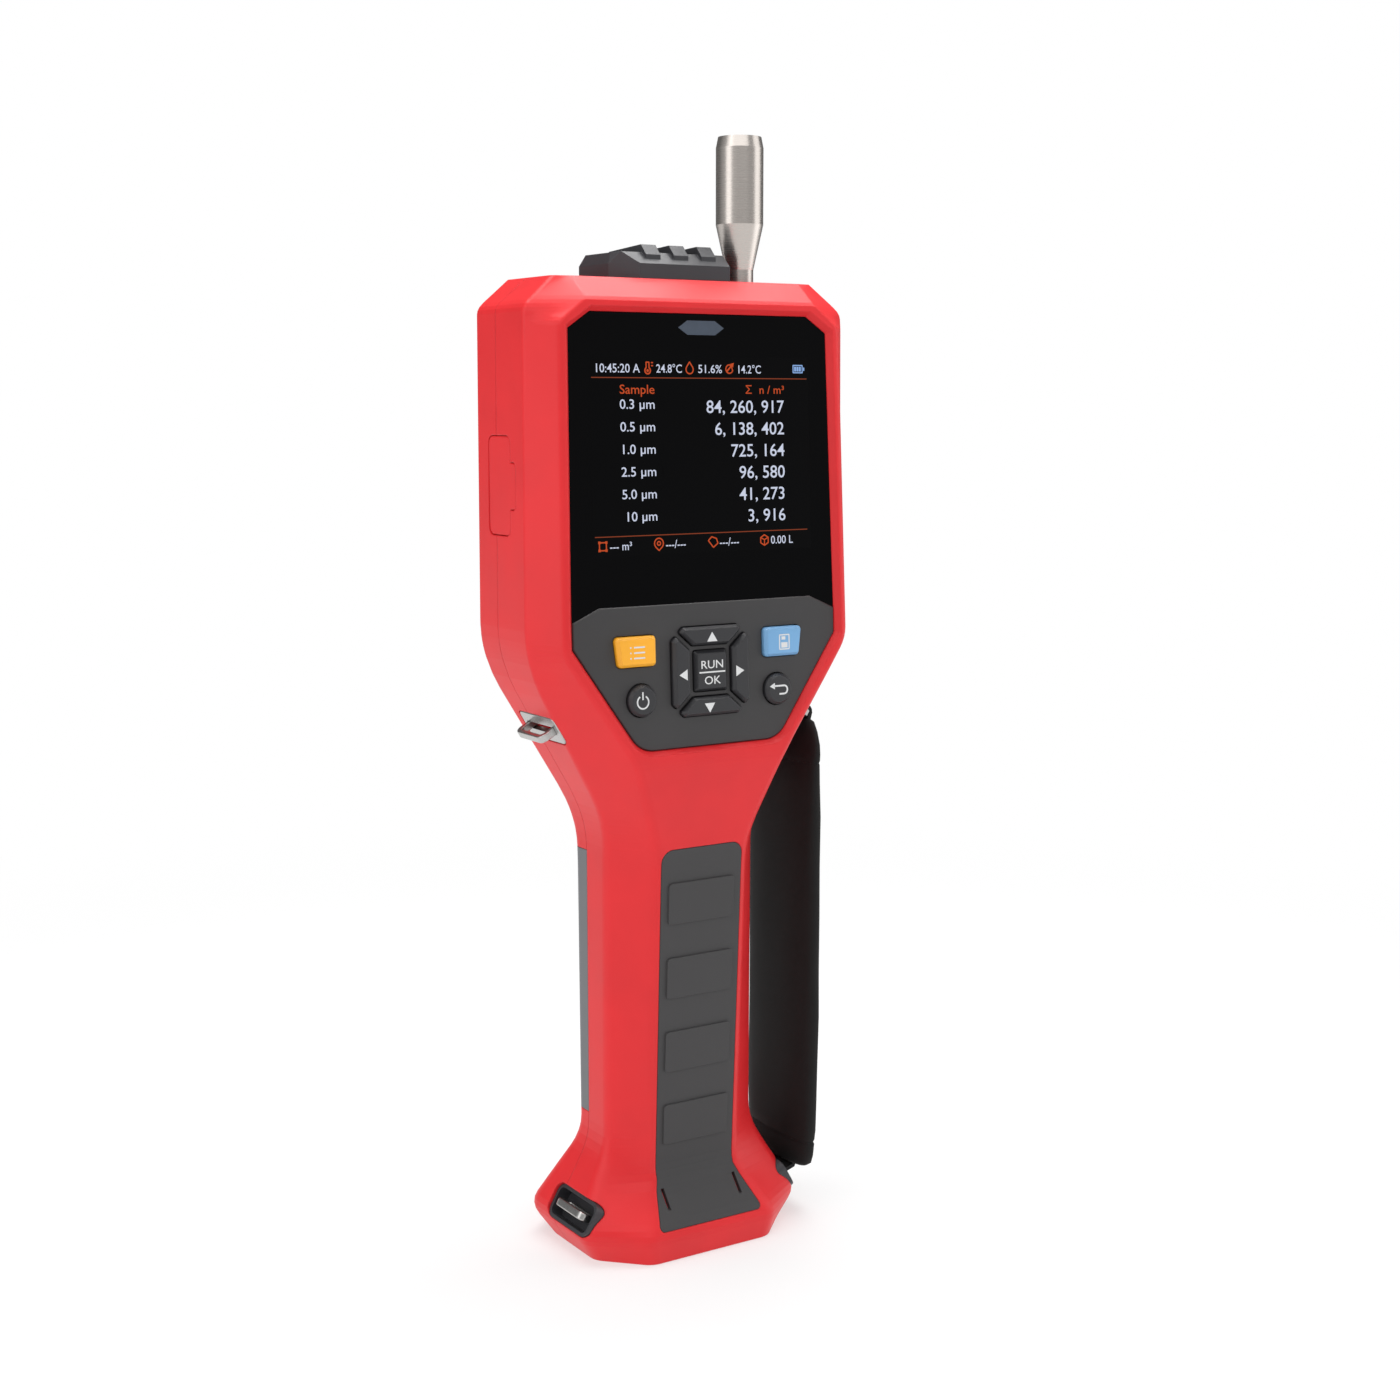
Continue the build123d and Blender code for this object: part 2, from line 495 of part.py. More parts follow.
with BuildPart() as space:
    add(cavity)
    add(ledge.part, mode=Mode.SUBTRACT)
    add(board_posts.part, mode=Mode.SUBTRACT)
    add(screw_columns.part, mode=Mode.SUBTRACT)
    add(lug_blocks.part, mode=Mode.SUBTRACT)
    add(insert_column.part, mode=Mode.SUBTRACT)
    add(grip_wall, mode=Mode.SUBTRACT)
    add(tray_wall, mode=Mode.SUBTRACT)
    add(cradles.part, mode=Mode.SUBTRACT)
    add(usb_block.part, mode=Mode.SUBTRACT)

# ---------------------------------------------------------------- what is cut into the housings
with BuildPart() as recess:             # glass and keypad panel, and the slope of the lip
    extrude(on_face(FLOOR, recess_points, FIT, PANEL_FOOT_RADIUS), amount=GLASS + 0.01)
    loft([
        on_face(0, recess_points, FIT, PANEL_FOOT_RADIUS),
        on_face(2 * LIP, recess_points, FIT + 2 * LIP_SLOPE, PANEL_FOOT_RADIUS)], ruled=True)

grip_pocket = grip_prism(FIT) - hull(GRIP_DEPTH, grip_low - 2, grip_high + 2)
cover_pocket = rear_block(COVER_LOW - FIT, COVER_HIGH + FIT) - tray_floor

with BuildPart() as lug_cuts:
    extrude(rectangle_on(upper_lug, BEZEL_LENGTH + 2 * FIT, BEZEL_WIDTH + 2 * FIT, 1.5), amount=-BEZEL)
    extrude(rectangle_on(upper_lug, BEZEL_LENGTH + 2 * FIT, BEZEL_WIDTH + 2 * FIT, 1.5), amount=3)
    with BuildSketch(upper_lug) as outline:
        Rectangle(LOOP_LENGTH + 2 * FIT, LOOP_WIDTH + 2 * FIT)
    extrude(amount=-(LOOP_HEIGHT - LOOP_PROUD + FIT))
    extrude(rectangle_on(lower_lug, CUP_LENGTH + 2 * FIT, CUP_WIDTH + 2 * FIT, 3), amount=-CUP_DEPTH)
    extrude(rectangle_on(lower_lug, CUP_LENGTH + 2 * FIT, CUP_WIDTH + 2 * FIT, 3), amount=3)
    mirror(about=Plane.YZ)


def usb_outline(depth, grow):
    """The USB cover: a rounded rectangle with a finger tab on its front side."""
    with BuildSketch(usb.offset(depth)) as outline:
        RectangleRounded(USB_WIDTH + 2 * grow, USB_LENGTH + 2 * grow, 2.2)
        with Locations((USB_WIDTH / 2 + TAB_WIDTH / 2 - 1.5, 0)):
            RectangleRounded(TAB_WIDTH + 3 + 2 * grow, TAB_LENGTH + 2 * grow, 1.4)
    return outline.sketch


with BuildPart() as usb_cuts:
    extrude(usb_outline(-USB_THICK - FIT, FIT), amount=USB_THICK + 3)
    extrude(rectangle_on(usb, PORT_WIDTH + USB_OPENING, PORT_LENGTH + USB_OPENING, 2.5), amount=-WALL * 3)

with BuildPart() as screw_holes:
    for x, z in mirrored(screw_points):
        with BuildSketch(Plane.XZ.offset(-SCREW_SEAT)) as outline:
            with Locations((x, z)):
                Circle(SCREW_HEAD / 2 + 0.4)
        extrude(amount=-HEAD_REAR)
        with BuildSketch(Plane.XZ.offset(-SCREW_SEAT - 1)) as outline:
            with Locations((x, z)):
                Circle(SCREW / 2 + 0.1)
        extrude(amount=SCREW_LENGTH + 2)
    for x, z in mirrored(lean_screws):
        with BuildSketch(face.offset(BOARD_TOP - 1)) as outline:
            with Locations((x, z)):
                Circle(0.85)
        extrude(amount=2.6)

with BuildPart() as top_holes:
    with Locations((PROBE_X, PROBE_Y, Z_TOP)):
        Cylinder(NIPPLE_DIAMETER / 2 + FIT, 6 * WALL)
    with Locations(((GUARD_LEFT + GUARD_RIGHT) / 2, (GUARD_FRONT + GUARD_BACK) / 2, Z_TOP)):
        Box(HUMID_LENGTH - 4, HUMID_WIDTH - 4, 6 * WALL)

with BuildPart() as rear_holes:
    with BuildSketch(Plane.XZ.offset(-HANDLE_REAR)):
        with Locations(*cover_screws_at):
            Circle(SCREW / 2 + 0.1)
    extrude(amount=COVER + COVER_SCREW_LENGTH)
    with Locations(*[(side * TONGUE_X, HANDLE_REAR - COVER + TONGUE / 2, COVER_HIGH) for side in (-1, 1)]):
        Box(TONGUE_WIDTH + 2 * FIT, TONGUE + 2 * FIT, 2 * (TONGUE_LENGTH + FIT))
    with BuildSketch(Plane.XZ.offset(-HEAD_REAR - 1)) as outline:
        with Locations((0, Z_NECK + INSERT_RISE)):
            Circle(INSERT_DIAMETER / 2)
    extrude(amount=INSERT_LENGTH + 1)
    with BuildSketch(Plane.XZ.offset(-HEAD_REAR - 1)) as vents:
        with Locations((FILTER_X, filter_z)):
            with GridLocations(0, VENT_PITCH, 1, VENT_COUNT):
                SlotOverall(VENT_LENGTH, VENT)
    extrude(amount=2 * WALL)

front_side = Pos(0, -100 - SEAM, Z_TOP / 2) * Box(200, 200, Z_TOP + 10)
rear_side = Pos(0, 100 + SEAM, Z_TOP / 2) * Box(200, 200, Z_TOP + 10)

with BuildPart() as front_housing:
    add(outer)
    add(front_side, mode=Mode.INTERSECT)
    for cutter in (space, recess, lug_cuts, usb_cuts, screw_holes, top_holes):
        add(cutter.part, mode=Mode.SUBTRACT)
    add(grip_pocket, mode=Mode.SUBTRACT)

with BuildPart() as rear_housing:
    add(outer)
    add(rear_side, mode=Mode.INTERSECT)
    add(space.part, mode=Mode.SUBTRACT)
    add(pack_tub.part)
    add(cover_bosses.part)
    for cutter in (lug_cuts, usb_cuts, screw_holes, top_holes, rear_holes, pack_room):
        add(cutter.part, mode=Mode.SUBTRACT)
    add(cover_pocket, mode=Mode.SUBTRACT)


# ---------------------------------------------------------------- face pieces
with BuildPart() as display_window:
    extrude(on_face(0, glass_points), amount=-GLASS)
    extrude(lens_outline(0, FIT / 3), amount=-GLASS, mode=Mode.SUBTRACT)

with BuildPart() as status_lens:
    extrude(lens_outline(0, 0), amount=-GLASS)

with BuildPart() as lcd_module:
    extrude(screen_outline(FLOOR, 0), amount=SCREEN_BACK - FLOOR)



cross_x, cross_y = CROSS_WIDTH / 2, CROSS_HEIGHT / 2
start_x, start_y = START_WIDTH / 2, START_HEIGHT / 2
hole_x, hole_y = start_x + CROSS_GAP, start_y + CROSS_GAP
corner_x, corner_y = cross_x - CROSS_CORNER / 2, cross_y - CROSS_CORNER / 2
# half the groove's width, measured along X and along Z, where it runs from the start key to a cut corner
groove = hypot(corner_x - hole_x, corner_y - hole_y) * CROSS_GAP / 2
groove_x, groove_y = groove / (corner_y - hole_y), groove / (corner_x - hole_x)
cut = CROSS_CORNER / 2 - groove_x * groove_y / (groove_x + groove_y)
up_arrow = [
    (cross_x - CROSS_CORNER, cross_y), (cross_x - CROSS_CORNER + cut, cross_y - cut),
    (hole_x - groove_x, hole_y), (groove_x - hole_x, hole_y),
    (CROSS_CORNER - cross_x - cut, cross_y - cut), (CROSS_CORNER - cross_x, cross_y)]
right_arrow = [
    (cross_x, cross_y - CROSS_CORNER), (cross_x - cut, cross_y - CROSS_CORNER + cut),
    (hole_x, hole_y - groove_y), (hole_x, groove_y - hole_y),
    (cross_x - cut, CROSS_CORNER - cross_y - cut), (cross_x, CROSS_CORNER - cross_y)]
save_corners = [
    (SIDE_KEY_IN, SIDE_KEY_TOP), (SIDE_KEY_IN, SIDE_KEY_FOOT),
    (SIDE_KEY_OUT - SIDE_KEY_TAPER, SIDE_KEY_FOOT), (SIDE_KEY_OUT, SIDE_KEY_TOP)]
key_corners = {
    "menu_key": [(-x, y) for x, y in save_corners],
    "save_key": save_corners,
    "up_key": [(x, CROSS_Z + y) for x, y in up_arrow],
    "down_key": [(x, CROSS_Z - y) for x, y in up_arrow],
    "left_key": [(-x, CROSS_Z + y) for x, y in right_arrow],
    "right_key": [(x, CROSS_Z + y) for x, y in right_arrow],
    "start_key": [(x, CROSS_Z + y) for x, y in (
        (start_x, start_y), (start_x, -start_y), (-start_x, -start_y), (-start_x, start_y))],
    "power_key": [(-ROUND_KEY_X, ROUND_KEY_Z)],
    "back_key": [(ROUND_KEY_X, ROUND_KEY_Z)],
}


def key_outline(name, height, grow):
    """A key's outline on a plane parallel to the face; one corner means a round key."""
    corners = key_corners[name]
    side_key = corners in (key_corners["menu_key"], key_corners["save_key"])
    corner = SIDE_KEY_CORNER if side_key else KEY_CORNER
    with BuildSketch(face.offset(height)) as outline:
        if len(corners) == 1:
            with Locations(corners[0]):
                Circle(ROUND_KEY / 2 + grow)
        else:
            with BuildLine():
                Polyline(*corners, close=True)
            make_face()
            if grow < 0:
                offset(amount=grow, kind=Kind.INTERSECTION)
            fillet(outline.vertices(), KEY_TOP_CORNER if grow < 0 else corner)
            if grow > 0:
                offset(amount=grow)
    return outline.sketch


with BuildPart() as keypad_panel:
    extrude(on_face(FLOOR, panel_points, foot=PANEL_FOOT_RADIUS), amount=PANEL_PROUD - FLOOR)
    chamfer(keypad_panel.faces().sort_by(Axis((0, 0, 0), face.z_dir))[-1].edges(), PANEL_EDGE)
    for name in key_corners:
        extrude(key_outline(name, FLOOR, KEY_SLOT), amount=PANEL_PROUD - FLOOR, mode=Mode.SUBTRACT)

keys = {}
for name in key_corners:
    top = KEY_TOP - (START_SUNK if name == "start_key" else 0)
    with BuildPart() as key:
        extrude(key_outline(name, KEY_FOOT, 0), amount=top - KEY_SHOULDER - KEY_FOOT)
        loft([key_outline(name, top - KEY_SHOULDER, 0), key_outline(name, top, -KEY_SLOPE)], ruled=True)
        extrude(key_outline(name, KEY_FOOT, FLANGE - FIT), amount=FLANGE)
    keys[name] = key

with BuildPart() as keypad_mat:
    extrude(offset(key_window(BOARD_TOP), -2 * FIT), amount=MAT)

with BuildPart() as main_board:
    extrude(on_face(BOARD_TOP, recess_points, -BOARD_INSET, PANEL_FOOT_RADIUS), amount=-BOARD)
    for x, z in mirrored(lean_screws):
        with BuildSketch(face.offset(BOARD_TOP)):
            with Locations((x, z)):
                Circle(BOARD_SCREW / 2 + 2 * FIT)
        extrude(amount=-BOARD, mode=Mode.SUBTRACT)

with BuildPart() as board_screws:
    for x, z in mirrored(lean_screws):
        with BuildSketch(face.offset(BOARD_TOP - BOARD)):
            with Locations((x, z)):
                Circle(BOARD_SCREW)
        extrude(amount=-1.2)
        with BuildSketch(face.offset(BOARD_TOP - BOARD)):
            with Locations((x, z)):
                Circle(BOARD_SCREW / 2)
        extrude(amount=BOARD + 1.2)

with BuildPart() as buzzer:
    with BuildSketch(face.offset(BOARD_TOP - BOARD)):
        with Locations((-BUZZER, PANEL_HIP)):
            Circle(BUZZER / 2)
    extrude(amount=-BUZZER_HEIGHT)
    fillet(buzzer.edges().filter_by(GeomType.CIRCLE).sort_by(Axis.Y)[-1], 0.8)
    with BuildSketch(face.offset(BOARD_TOP - BOARD - BUZZER_HEIGHT)):
        with Locations((-BUZZER, PANEL_HIP)):
            Circle(1)
    extrude(amount=1.5, mode=Mode.SUBTRACT)

# ---------------------------------------------------------------- handle pieces
pad_points = [Z_HANDLE - PAD_FIRST - PAD_HEIGHT / 2 - k * PAD_PITCH for k in range(PAD_COUNT)]
pad_low, pad_high = pad_points[-1] - PAD_HEIGHT, pad_points[0] + PAD_HEIGHT
pad_top = hull(-PAD_PROUD, pad_low, pad_high)
grip_skin = hull(0, grip_low, grip_high) - grip_floor
with BuildPart() as pad_block:
    with BuildSketch(Plane.XZ):
        with Locations(*[(0, z) for z in pad_points]):
            RectangleRounded(PAD_WIDTH, PAD_HEIGHT, 1.0)
    extrude(amount=BASE_FRONT + 10)
grip_outline = grip_prism(0)
pad_skin = (pad_block.part & pad_top) - hull(GRIP_DEPTH / 2, pad_low, pad_high)

with BuildPart() as front_grip:
    add(grip_outline & grip_skin)
    add(pad_skin)
    with Locations(*[(side * SLIT_X, -BASE_FRONT, Z_WIDE + SLIT_RISE) for side in (-1, 1)]):
        Box(SLIT, 2 * BASE_FRONT, SLIT_HEIGHT, mode=Mode.SUBTRACT)

cover_shell = (hull(0, COVER_LOW, COVER_HIGH) & rear_block(COVER_LOW, COVER_HIGH, SEAM)) - cover_floor

with BuildPart() as battery_cover:
    add(cover_shell)
    with Locations(*[(side * TONGUE_X, HANDLE_REAR - COVER + TONGUE / 2, COVER_HIGH) for side in (-1, 1)]):
        Box(TONGUE_WIDTH, TONGUE, 2 * TONGUE_LENGTH)
    for radius, start in ((SCREW / 2 + 0.1, HANDLE_REAR - COVER), (SCREW_HEAD / 2 + 0.2, cover_screw_seat)):
        with BuildSketch(Plane.XZ.offset(-start)):
            with Locations(*cover_screws_at):
                Circle(radius)
        extrude(amount=-COVER, mode=Mode.SUBTRACT)


def screws(points, seat, head_height, length):
    """Pan-head screws whose heads rest at Y = seat and whose shanks point to the front."""
    with BuildPart() as group:
        for x, z in points:
            with BuildSketch(Plane.XZ.offset(-seat)):
                with Locations((x, z)):
                    Circle(SCREW_HEAD / 2)
            extrude(amount=-head_height)
            with BuildSketch(Plane.XZ.offset(-seat)):
                with Locations((x, z)):
                    Circle(SCREW / 2)
            extrude(amount=length)
            with BuildSketch(Plane.XZ.offset(-seat - head_height)):
                with Locations((x, z)):
                    Rectangle(3.2, 0.7)
                    Rectangle(0.7, 3.2)
            extrude(amount=0.8, mode=Mode.SUBTRACT)
    return group


cover_screws = screws(cover_screws_at, cover_screw_seat, COVER_HEAD, COVER_SCREW_LENGTH)
housing_screws = screws(mirrored(screw_points), SCREW_SEAT, SCREW_HEAD_HEIGHT, SCREW_LENGTH)

with BuildPart() as battery_pack:
    with BuildSketch(Plane.XY.offset(pack_middle - PACK_LENGTH / 2)) as cells:
        with Locations((0, pack_y)):
            RectangleRounded(PACK_WIDTH, PACK_DEPTH, PACK_DEPTH / 2 - 1.5)
    extrude(amount=PACK_LENGTH)
    chamfer(battery_pack.faces().filter_by(Axis.Z).edges(), 0.8)

# ---------------------------------------------------------------- USB cover and port
with BuildPart() as usb_cover:
    extrude(usb_outline(-USB_THICK, 0), amount=USB_THICK)
    chamfer(usb_cover.faces().sort_by(Axis.X)[0].edges(), 0.25)
    extrude(rectangle_on(
        usb.offset(-USB_THICK), PORT_WIDTH + USB_OPENING - 2 * USB_SWING,
        PORT_LENGTH + USB_OPENING - 2 * USB_SWING, 2), amount=-USB_BOSS)

port_mouth = usb.offset(-(USB_THICK + USB_BOSS + FIT))
with BuildPart() as usb_port:
    extrude(rectangle_on(port_mouth, PORT_WIDTH, PORT_LENGTH, PORT_WIDTH / 2 - 0.05), amount=-PORT_DEPTH)
    extrude(rectangle_on(
        port_mouth, PORT_WIDTH - 0.6, PORT_LENGTH - 0.6, PORT_WIDTH / 2 - 0.35), amount=2 - PORT_DEPTH,
        mode=Mode.SUBTRACT)
    extrude(rectangle_on(port_mouth.offset(-1), 0.7, PORT_LENGTH - 2.4, 0.3), amount=2 - PORT_DEPTH)

with BuildPart() as port_board:
    with Locations((port_x, port_board_back - BOARD / 2, z_usb)):
        Box(PORT_BOARD_DEPTH, BOARD, PORT_BOARD_HEIGHT)

# ---------------------------------------------------------------- lugs and strap


def loop(plane, height, proud):
    """A flat ring that stands across a plane let into the wall."""
    upright = Plane(origin=plane.origin, x_dir=plane.x_dir, z_dir=-plane.y_dir)
    with BuildPart() as ring:
        with BuildSketch(upright):
            with Locations((0, proud - height / 2)):
                RectangleRounded(LOOP_LENGTH, height, 2.2)
                RectangleRounded(LOOP_LENGTH - 2 * LOOP_BAR, height - 2 * LOOP_BAR, 0.9, mode=Mode.SUBTRACT)
        extrude(amount=LOOP_WIDTH / 2, both=True)
        fillet(ring.edges().filter_by(lambda edge: edge.length > 2 * LOOP_BAR), 0.4)
    return ring


upper_loop = loop(upper_lug, LOOP_HEIGHT, LOOP_PROUD)
lower_loop = loop(lower_lug, CUP_DEPTH - CUP_WALL + CUP_LOOP_PROUD, CUP_LOOP_PROUD)

with BuildPart() as upper_bezel:
    extrude(rectangle_on(upper_lug, BEZEL_LENGTH, BEZEL_WIDTH, 1.4), amount=-BEZEL)
    chamfer(upper_bezel.faces().sort_by(Axis.X)[-1].edges(), 0.3)
    with BuildSketch(upper_lug):
        Rectangle(LOOP_LENGTH + 2 * FIT, LOOP_WIDTH + 2 * FIT)
    extrude(amount=-BEZEL, mode=Mode.SUBTRACT)

with BuildPart() as lower_cup:
    extrude(rectangle_on(lower_lug.offset(-CUP_SUNK), CUP_LENGTH, CUP_WIDTH, 2.9), amount=CUP_SUNK - CUP_DEPTH)
    extrude(rectangle_on(
        lower_lug, CUP_LENGTH - 2 * CUP_WALL, CUP_WIDTH - 2 * CUP_WALL, 1.9), amount=CUP_WALL - CUP_DEPTH,
        mode=Mode.SUBTRACT)

upper_bar = upper_lug.from_local_coords(Vector(0, 0, LOOP_PROUD - LOOP_BAR / 2))
lower_bar = lower_lug.from_local_coords(Vector(0, 0, CUP_LOOP_PROUD - LOOP_BAR / 2))
wrap = LOOP_WIDTH / 2 + WEB / 2 + CLEAR        # centre line of the webbing round a bar


def strip(stations, grow=0.0):
    """A flat band, its width along Y, through points (x, y, z) in order."""
    sections = []
    for index, (x, y, z) in enumerate(stations):
        before = stations[max(index - 1, 0)]
        after = stations[min(index + 1, len(stations) - 1)]
        along = Vector(after[0] - before[0], 0, after[2] - before[2])
        with BuildSketch(Plane(origin=(x, y, z), x_dir=(0, 1, 0), z_dir=along)) as band:
            Rectangle(WEB_WIDTH + 2 * grow, WEB + 2 * grow)
        sections.append(band.sketch)
    return loft(sections, ruled=True)


def round_bar(bar, start, turn, steps=6):
    """Points round a loop's bar, from a start angle through a turn, both in degrees."""
    angles = [radians(start + turn * k / steps) for k in range(steps + 1)]
    return [(bar.X + wrap * cos(a), bar.Y, bar.Z + wrap * sin(a)) for a in angles]


sleeve_high = SLEEVE_LOW + SLEEVE_LENGTH
web_through = [
    (STRAP_X, STRAP_Y, sleeve_high), (STRAP_X, STRAP_Y, SLEEVE_LOW + 20),
    (STRAP_X - SLEEVE_LEAN, STRAP_Y, SLEEVE_LOW)]
web_stations = (
    round_bar(upper_bar, 180 - WRAP_END, WRAP_END - 180) + web_through
    + [(STRAP_X - 2 * SLEEVE_LEAN, (STRAP_Y + LOWER_LUG_Y) / 2, SLEEVE_LOW - WEB)]
    + round_bar(lower_bar, -60, -120))
with BuildPart() as strap_webbing:
    add(strip(web_stations))

bar_end = round_bar(upper_bar, 180 - WRAP_END, WRAP_END - 180)[-1]
tab_x = STRAP_X + (bar_end[0] - STRAP_X) * SLEEVE_TAB / (bar_end[2] - sleeve_high)
sleeve_stations = [
    (tab_x, sleeve_high + SLEEVE_TAB, SLEEVE_TAB_WIDTH, PAD_SLEEVE_DEPTH / 2),
    (STRAP_X, sleeve_high, PAD_SLEEVE_WIDTH, PAD_SLEEVE_DEPTH - 1),
    (STRAP_X, sleeve_high - 4, PAD_SLEEVE_WIDTH, PAD_SLEEVE_DEPTH),
    (STRAP_X, SLEEVE_LOW + 30, PAD_SLEEVE_WIDTH, PAD_SLEEVE_DEPTH),
    (STRAP_X - SLEEVE_LEAN, SLEEVE_LOW + 4, PAD_SLEEVE_WIDTH - 1, PAD_SLEEVE_DEPTH),
    (STRAP_X - SLEEVE_LEAN, SLEEVE_LOW, PAD_SLEEVE_WIDTH - 5, PAD_SLEEVE_DEPTH - 1)]
sleeve_sections = []
for x, z, width, depth in sleeve_stations:
    with BuildSketch(Plane.XY.offset(z)) as outline:
        with Locations((x, STRAP_Y)):
            RectangleRounded(depth, width, depth / 2 - 0.2)
    sleeve_sections.append(outline.sketch)
web_room = strip([bar_end, *web_through, (STRAP_X - SLEEVE_LEAN, STRAP_Y, SLEEVE_LOW - 1)], CLEAR)
with BuildPart() as strap_sleeve:
    add(loft(sleeve_sections, ruled=True))
    add(web_room, mode=Mode.SUBTRACT)

# ---------------------------------------------------------------- air inlet
nipple_top = Z_TOP + NIPPLE_PROUD
probe_top = nipple_top + PROBE_CONE + PROBE_BARREL + PROBE_RIM_HEIGHT
nipple_radius = NIPPLE_DIAMETER / 2
bore_radius = NIPPLE_BORE / 2
spigot_radius = SPIGOT / 2


def turned(x, y, *outline):
    """A turned piece on a vertical axis at (x, y), from (radius, height) points."""
    with BuildPart() as piece:
        with BuildSketch(Plane(origin=(x, y, 0), x_dir=(1, 0, 0), z_dir=(0, -1, 0))):
            with BuildLine():
                Polyline(*outline, close=True)
            make_face()
        revolve(axis=Axis((x, y, 0), (0, 0, 1)))
    return piece


inlet_probe = turned(
    PROBE_X, PROBE_Y,
    (bore_radius, nipple_top - SPIGOT_LENGTH), (spigot_radius, nipple_top - SPIGOT_LENGTH),
    (spigot_radius, nipple_top), (nipple_radius, nipple_top), (nipple_radius, nipple_top + 0.8),
    (PROBE_DIAMETER / 2, nipple_top + PROBE_CONE), (PROBE_DIAMETER / 2, probe_top - PROBE_RIM_HEIGHT),
    (PROBE_RIM / 2, probe_top), (PROBE_MOUTH / 2, probe_top),
    (PROBE_MOUTH / 2, probe_top - PROBE_BARREL), (bore_radius, nipple_top + 1.5))

nipple_under = Z_TOP - WALL
tube_top = nipple_under - NIPPLE_FLANGE
inlet_nipple = turned(
    PROBE_X, PROBE_Y,
    (bore_radius, tube_top - BARB), (bore_radius, nipple_top - SPIGOT_LENGTH),
    (spigot_radius, nipple_top - SPIGOT_LENGTH), (spigot_radius, nipple_top), (nipple_radius, nipple_top),
    (nipple_radius, nipple_under), (nipple_radius + 1.5, nipple_under), (nipple_radius + 1.5, tube_top),
    (bore_radius + 0.7, tube_top), (bore_radius + 0.7, tube_top - BARB + 2),
    (bore_radius + 0.9, tube_top - BARB + 2), (bore_radius + 0.5, tube_top - BARB))
sample_tube = turned(
    PROBE_X, PROBE_Y,
    (bore_radius + 0.9, tube_top), (TUBE / 2, tube_top), (TUBE / 2, sensor_top), (bore_radius + 0.9, sensor_top))

with BuildPart() as optical_sensor:
    with Locations((SENSOR_X, sensor_y, sensor_top - SENSOR_HEIGHT / 2)):
        Box(SENSOR_WIDTH, SENSOR_DEPTH, SENSOR_HEIGHT)
    chamfer(optical_sensor.edges().filter_by(Axis.Y), 3)
    with Locations((PROBE_X, PROBE_Y, sensor_top)):
        Hole(bore_radius, SENSOR_HEIGHT / 2)
    fillet(optical_sensor.edges().filter_by(Axis.Z), 1)

laser_z = sensor_top - SENSOR_HEIGHT / 2
laser_right = SENSOR_X - SENSOR_WIDTH / 2
with BuildPart() as laser_module:
    with Locations(Location((laser_right - LASER_LENGTH / 2, sensor_y, laser_z), (0, 90, 0))):
        Cylinder(LASER_DIAMETER / 2, LASER_LENGTH)
    chamfer(laser_module.edges().filter_by(GeomType.CIRCLE), 0.6)

with BuildPart() as air_pump:
    with Locations(Location((PUMP_X, pump_y, pump_z), (0, 90, 0))):
        Cylinder(PUMP_DIAMETER / 2, PUMP_LENGTH)
    fillet(air_pump.edges().filter_by(GeomType.CIRCLE), 1.5)
    with Locations(Location((PUMP_X - PUMP_LENGTH / 2, pump_y, pump_z), (0, 90, 0))):
        Cylinder(2, 6)

with BuildPart() as exhaust_filter:
    with Locations((FILTER_X, pump_y, filter_z)):
        Cylinder(FILTER_DIAMETER / 2, FILTER_LENGTH)
    chamfer(exhaust_filter.edges().filter_by(GeomType.CIRCLE), 1.2)
    with Locations((FILTER_X, pump_y, filter_z)):
        Cylinder(2, FILTER_LENGTH + 8)

# ---------------------------------------------------------------- sensor guard
guard_x, guard_y = (GUARD_LEFT + GUARD_RIGHT) / 2, (GUARD_FRONT + GUARD_BACK) / 2


def guard_outline(z, inset, sunk):
    """The guard's footprint; its right wall stays upright while the others come in by sunk."""
    left, right = GUARD_LEFT + inset + sunk, GUARD_RIGHT - inset
    low, high = GUARD_FRONT + inset + sunk, GUARD_BACK - inset - sunk
    cut = GUARD_CORNER
    with BuildSketch(Plane.XY.offset(z)) as outline:
        with BuildLine():
            Polyline((left, low + cut), (left + cut, low), (right, low), (right, high), (left, high), close=True)
        make_face()
    return outline.sketch


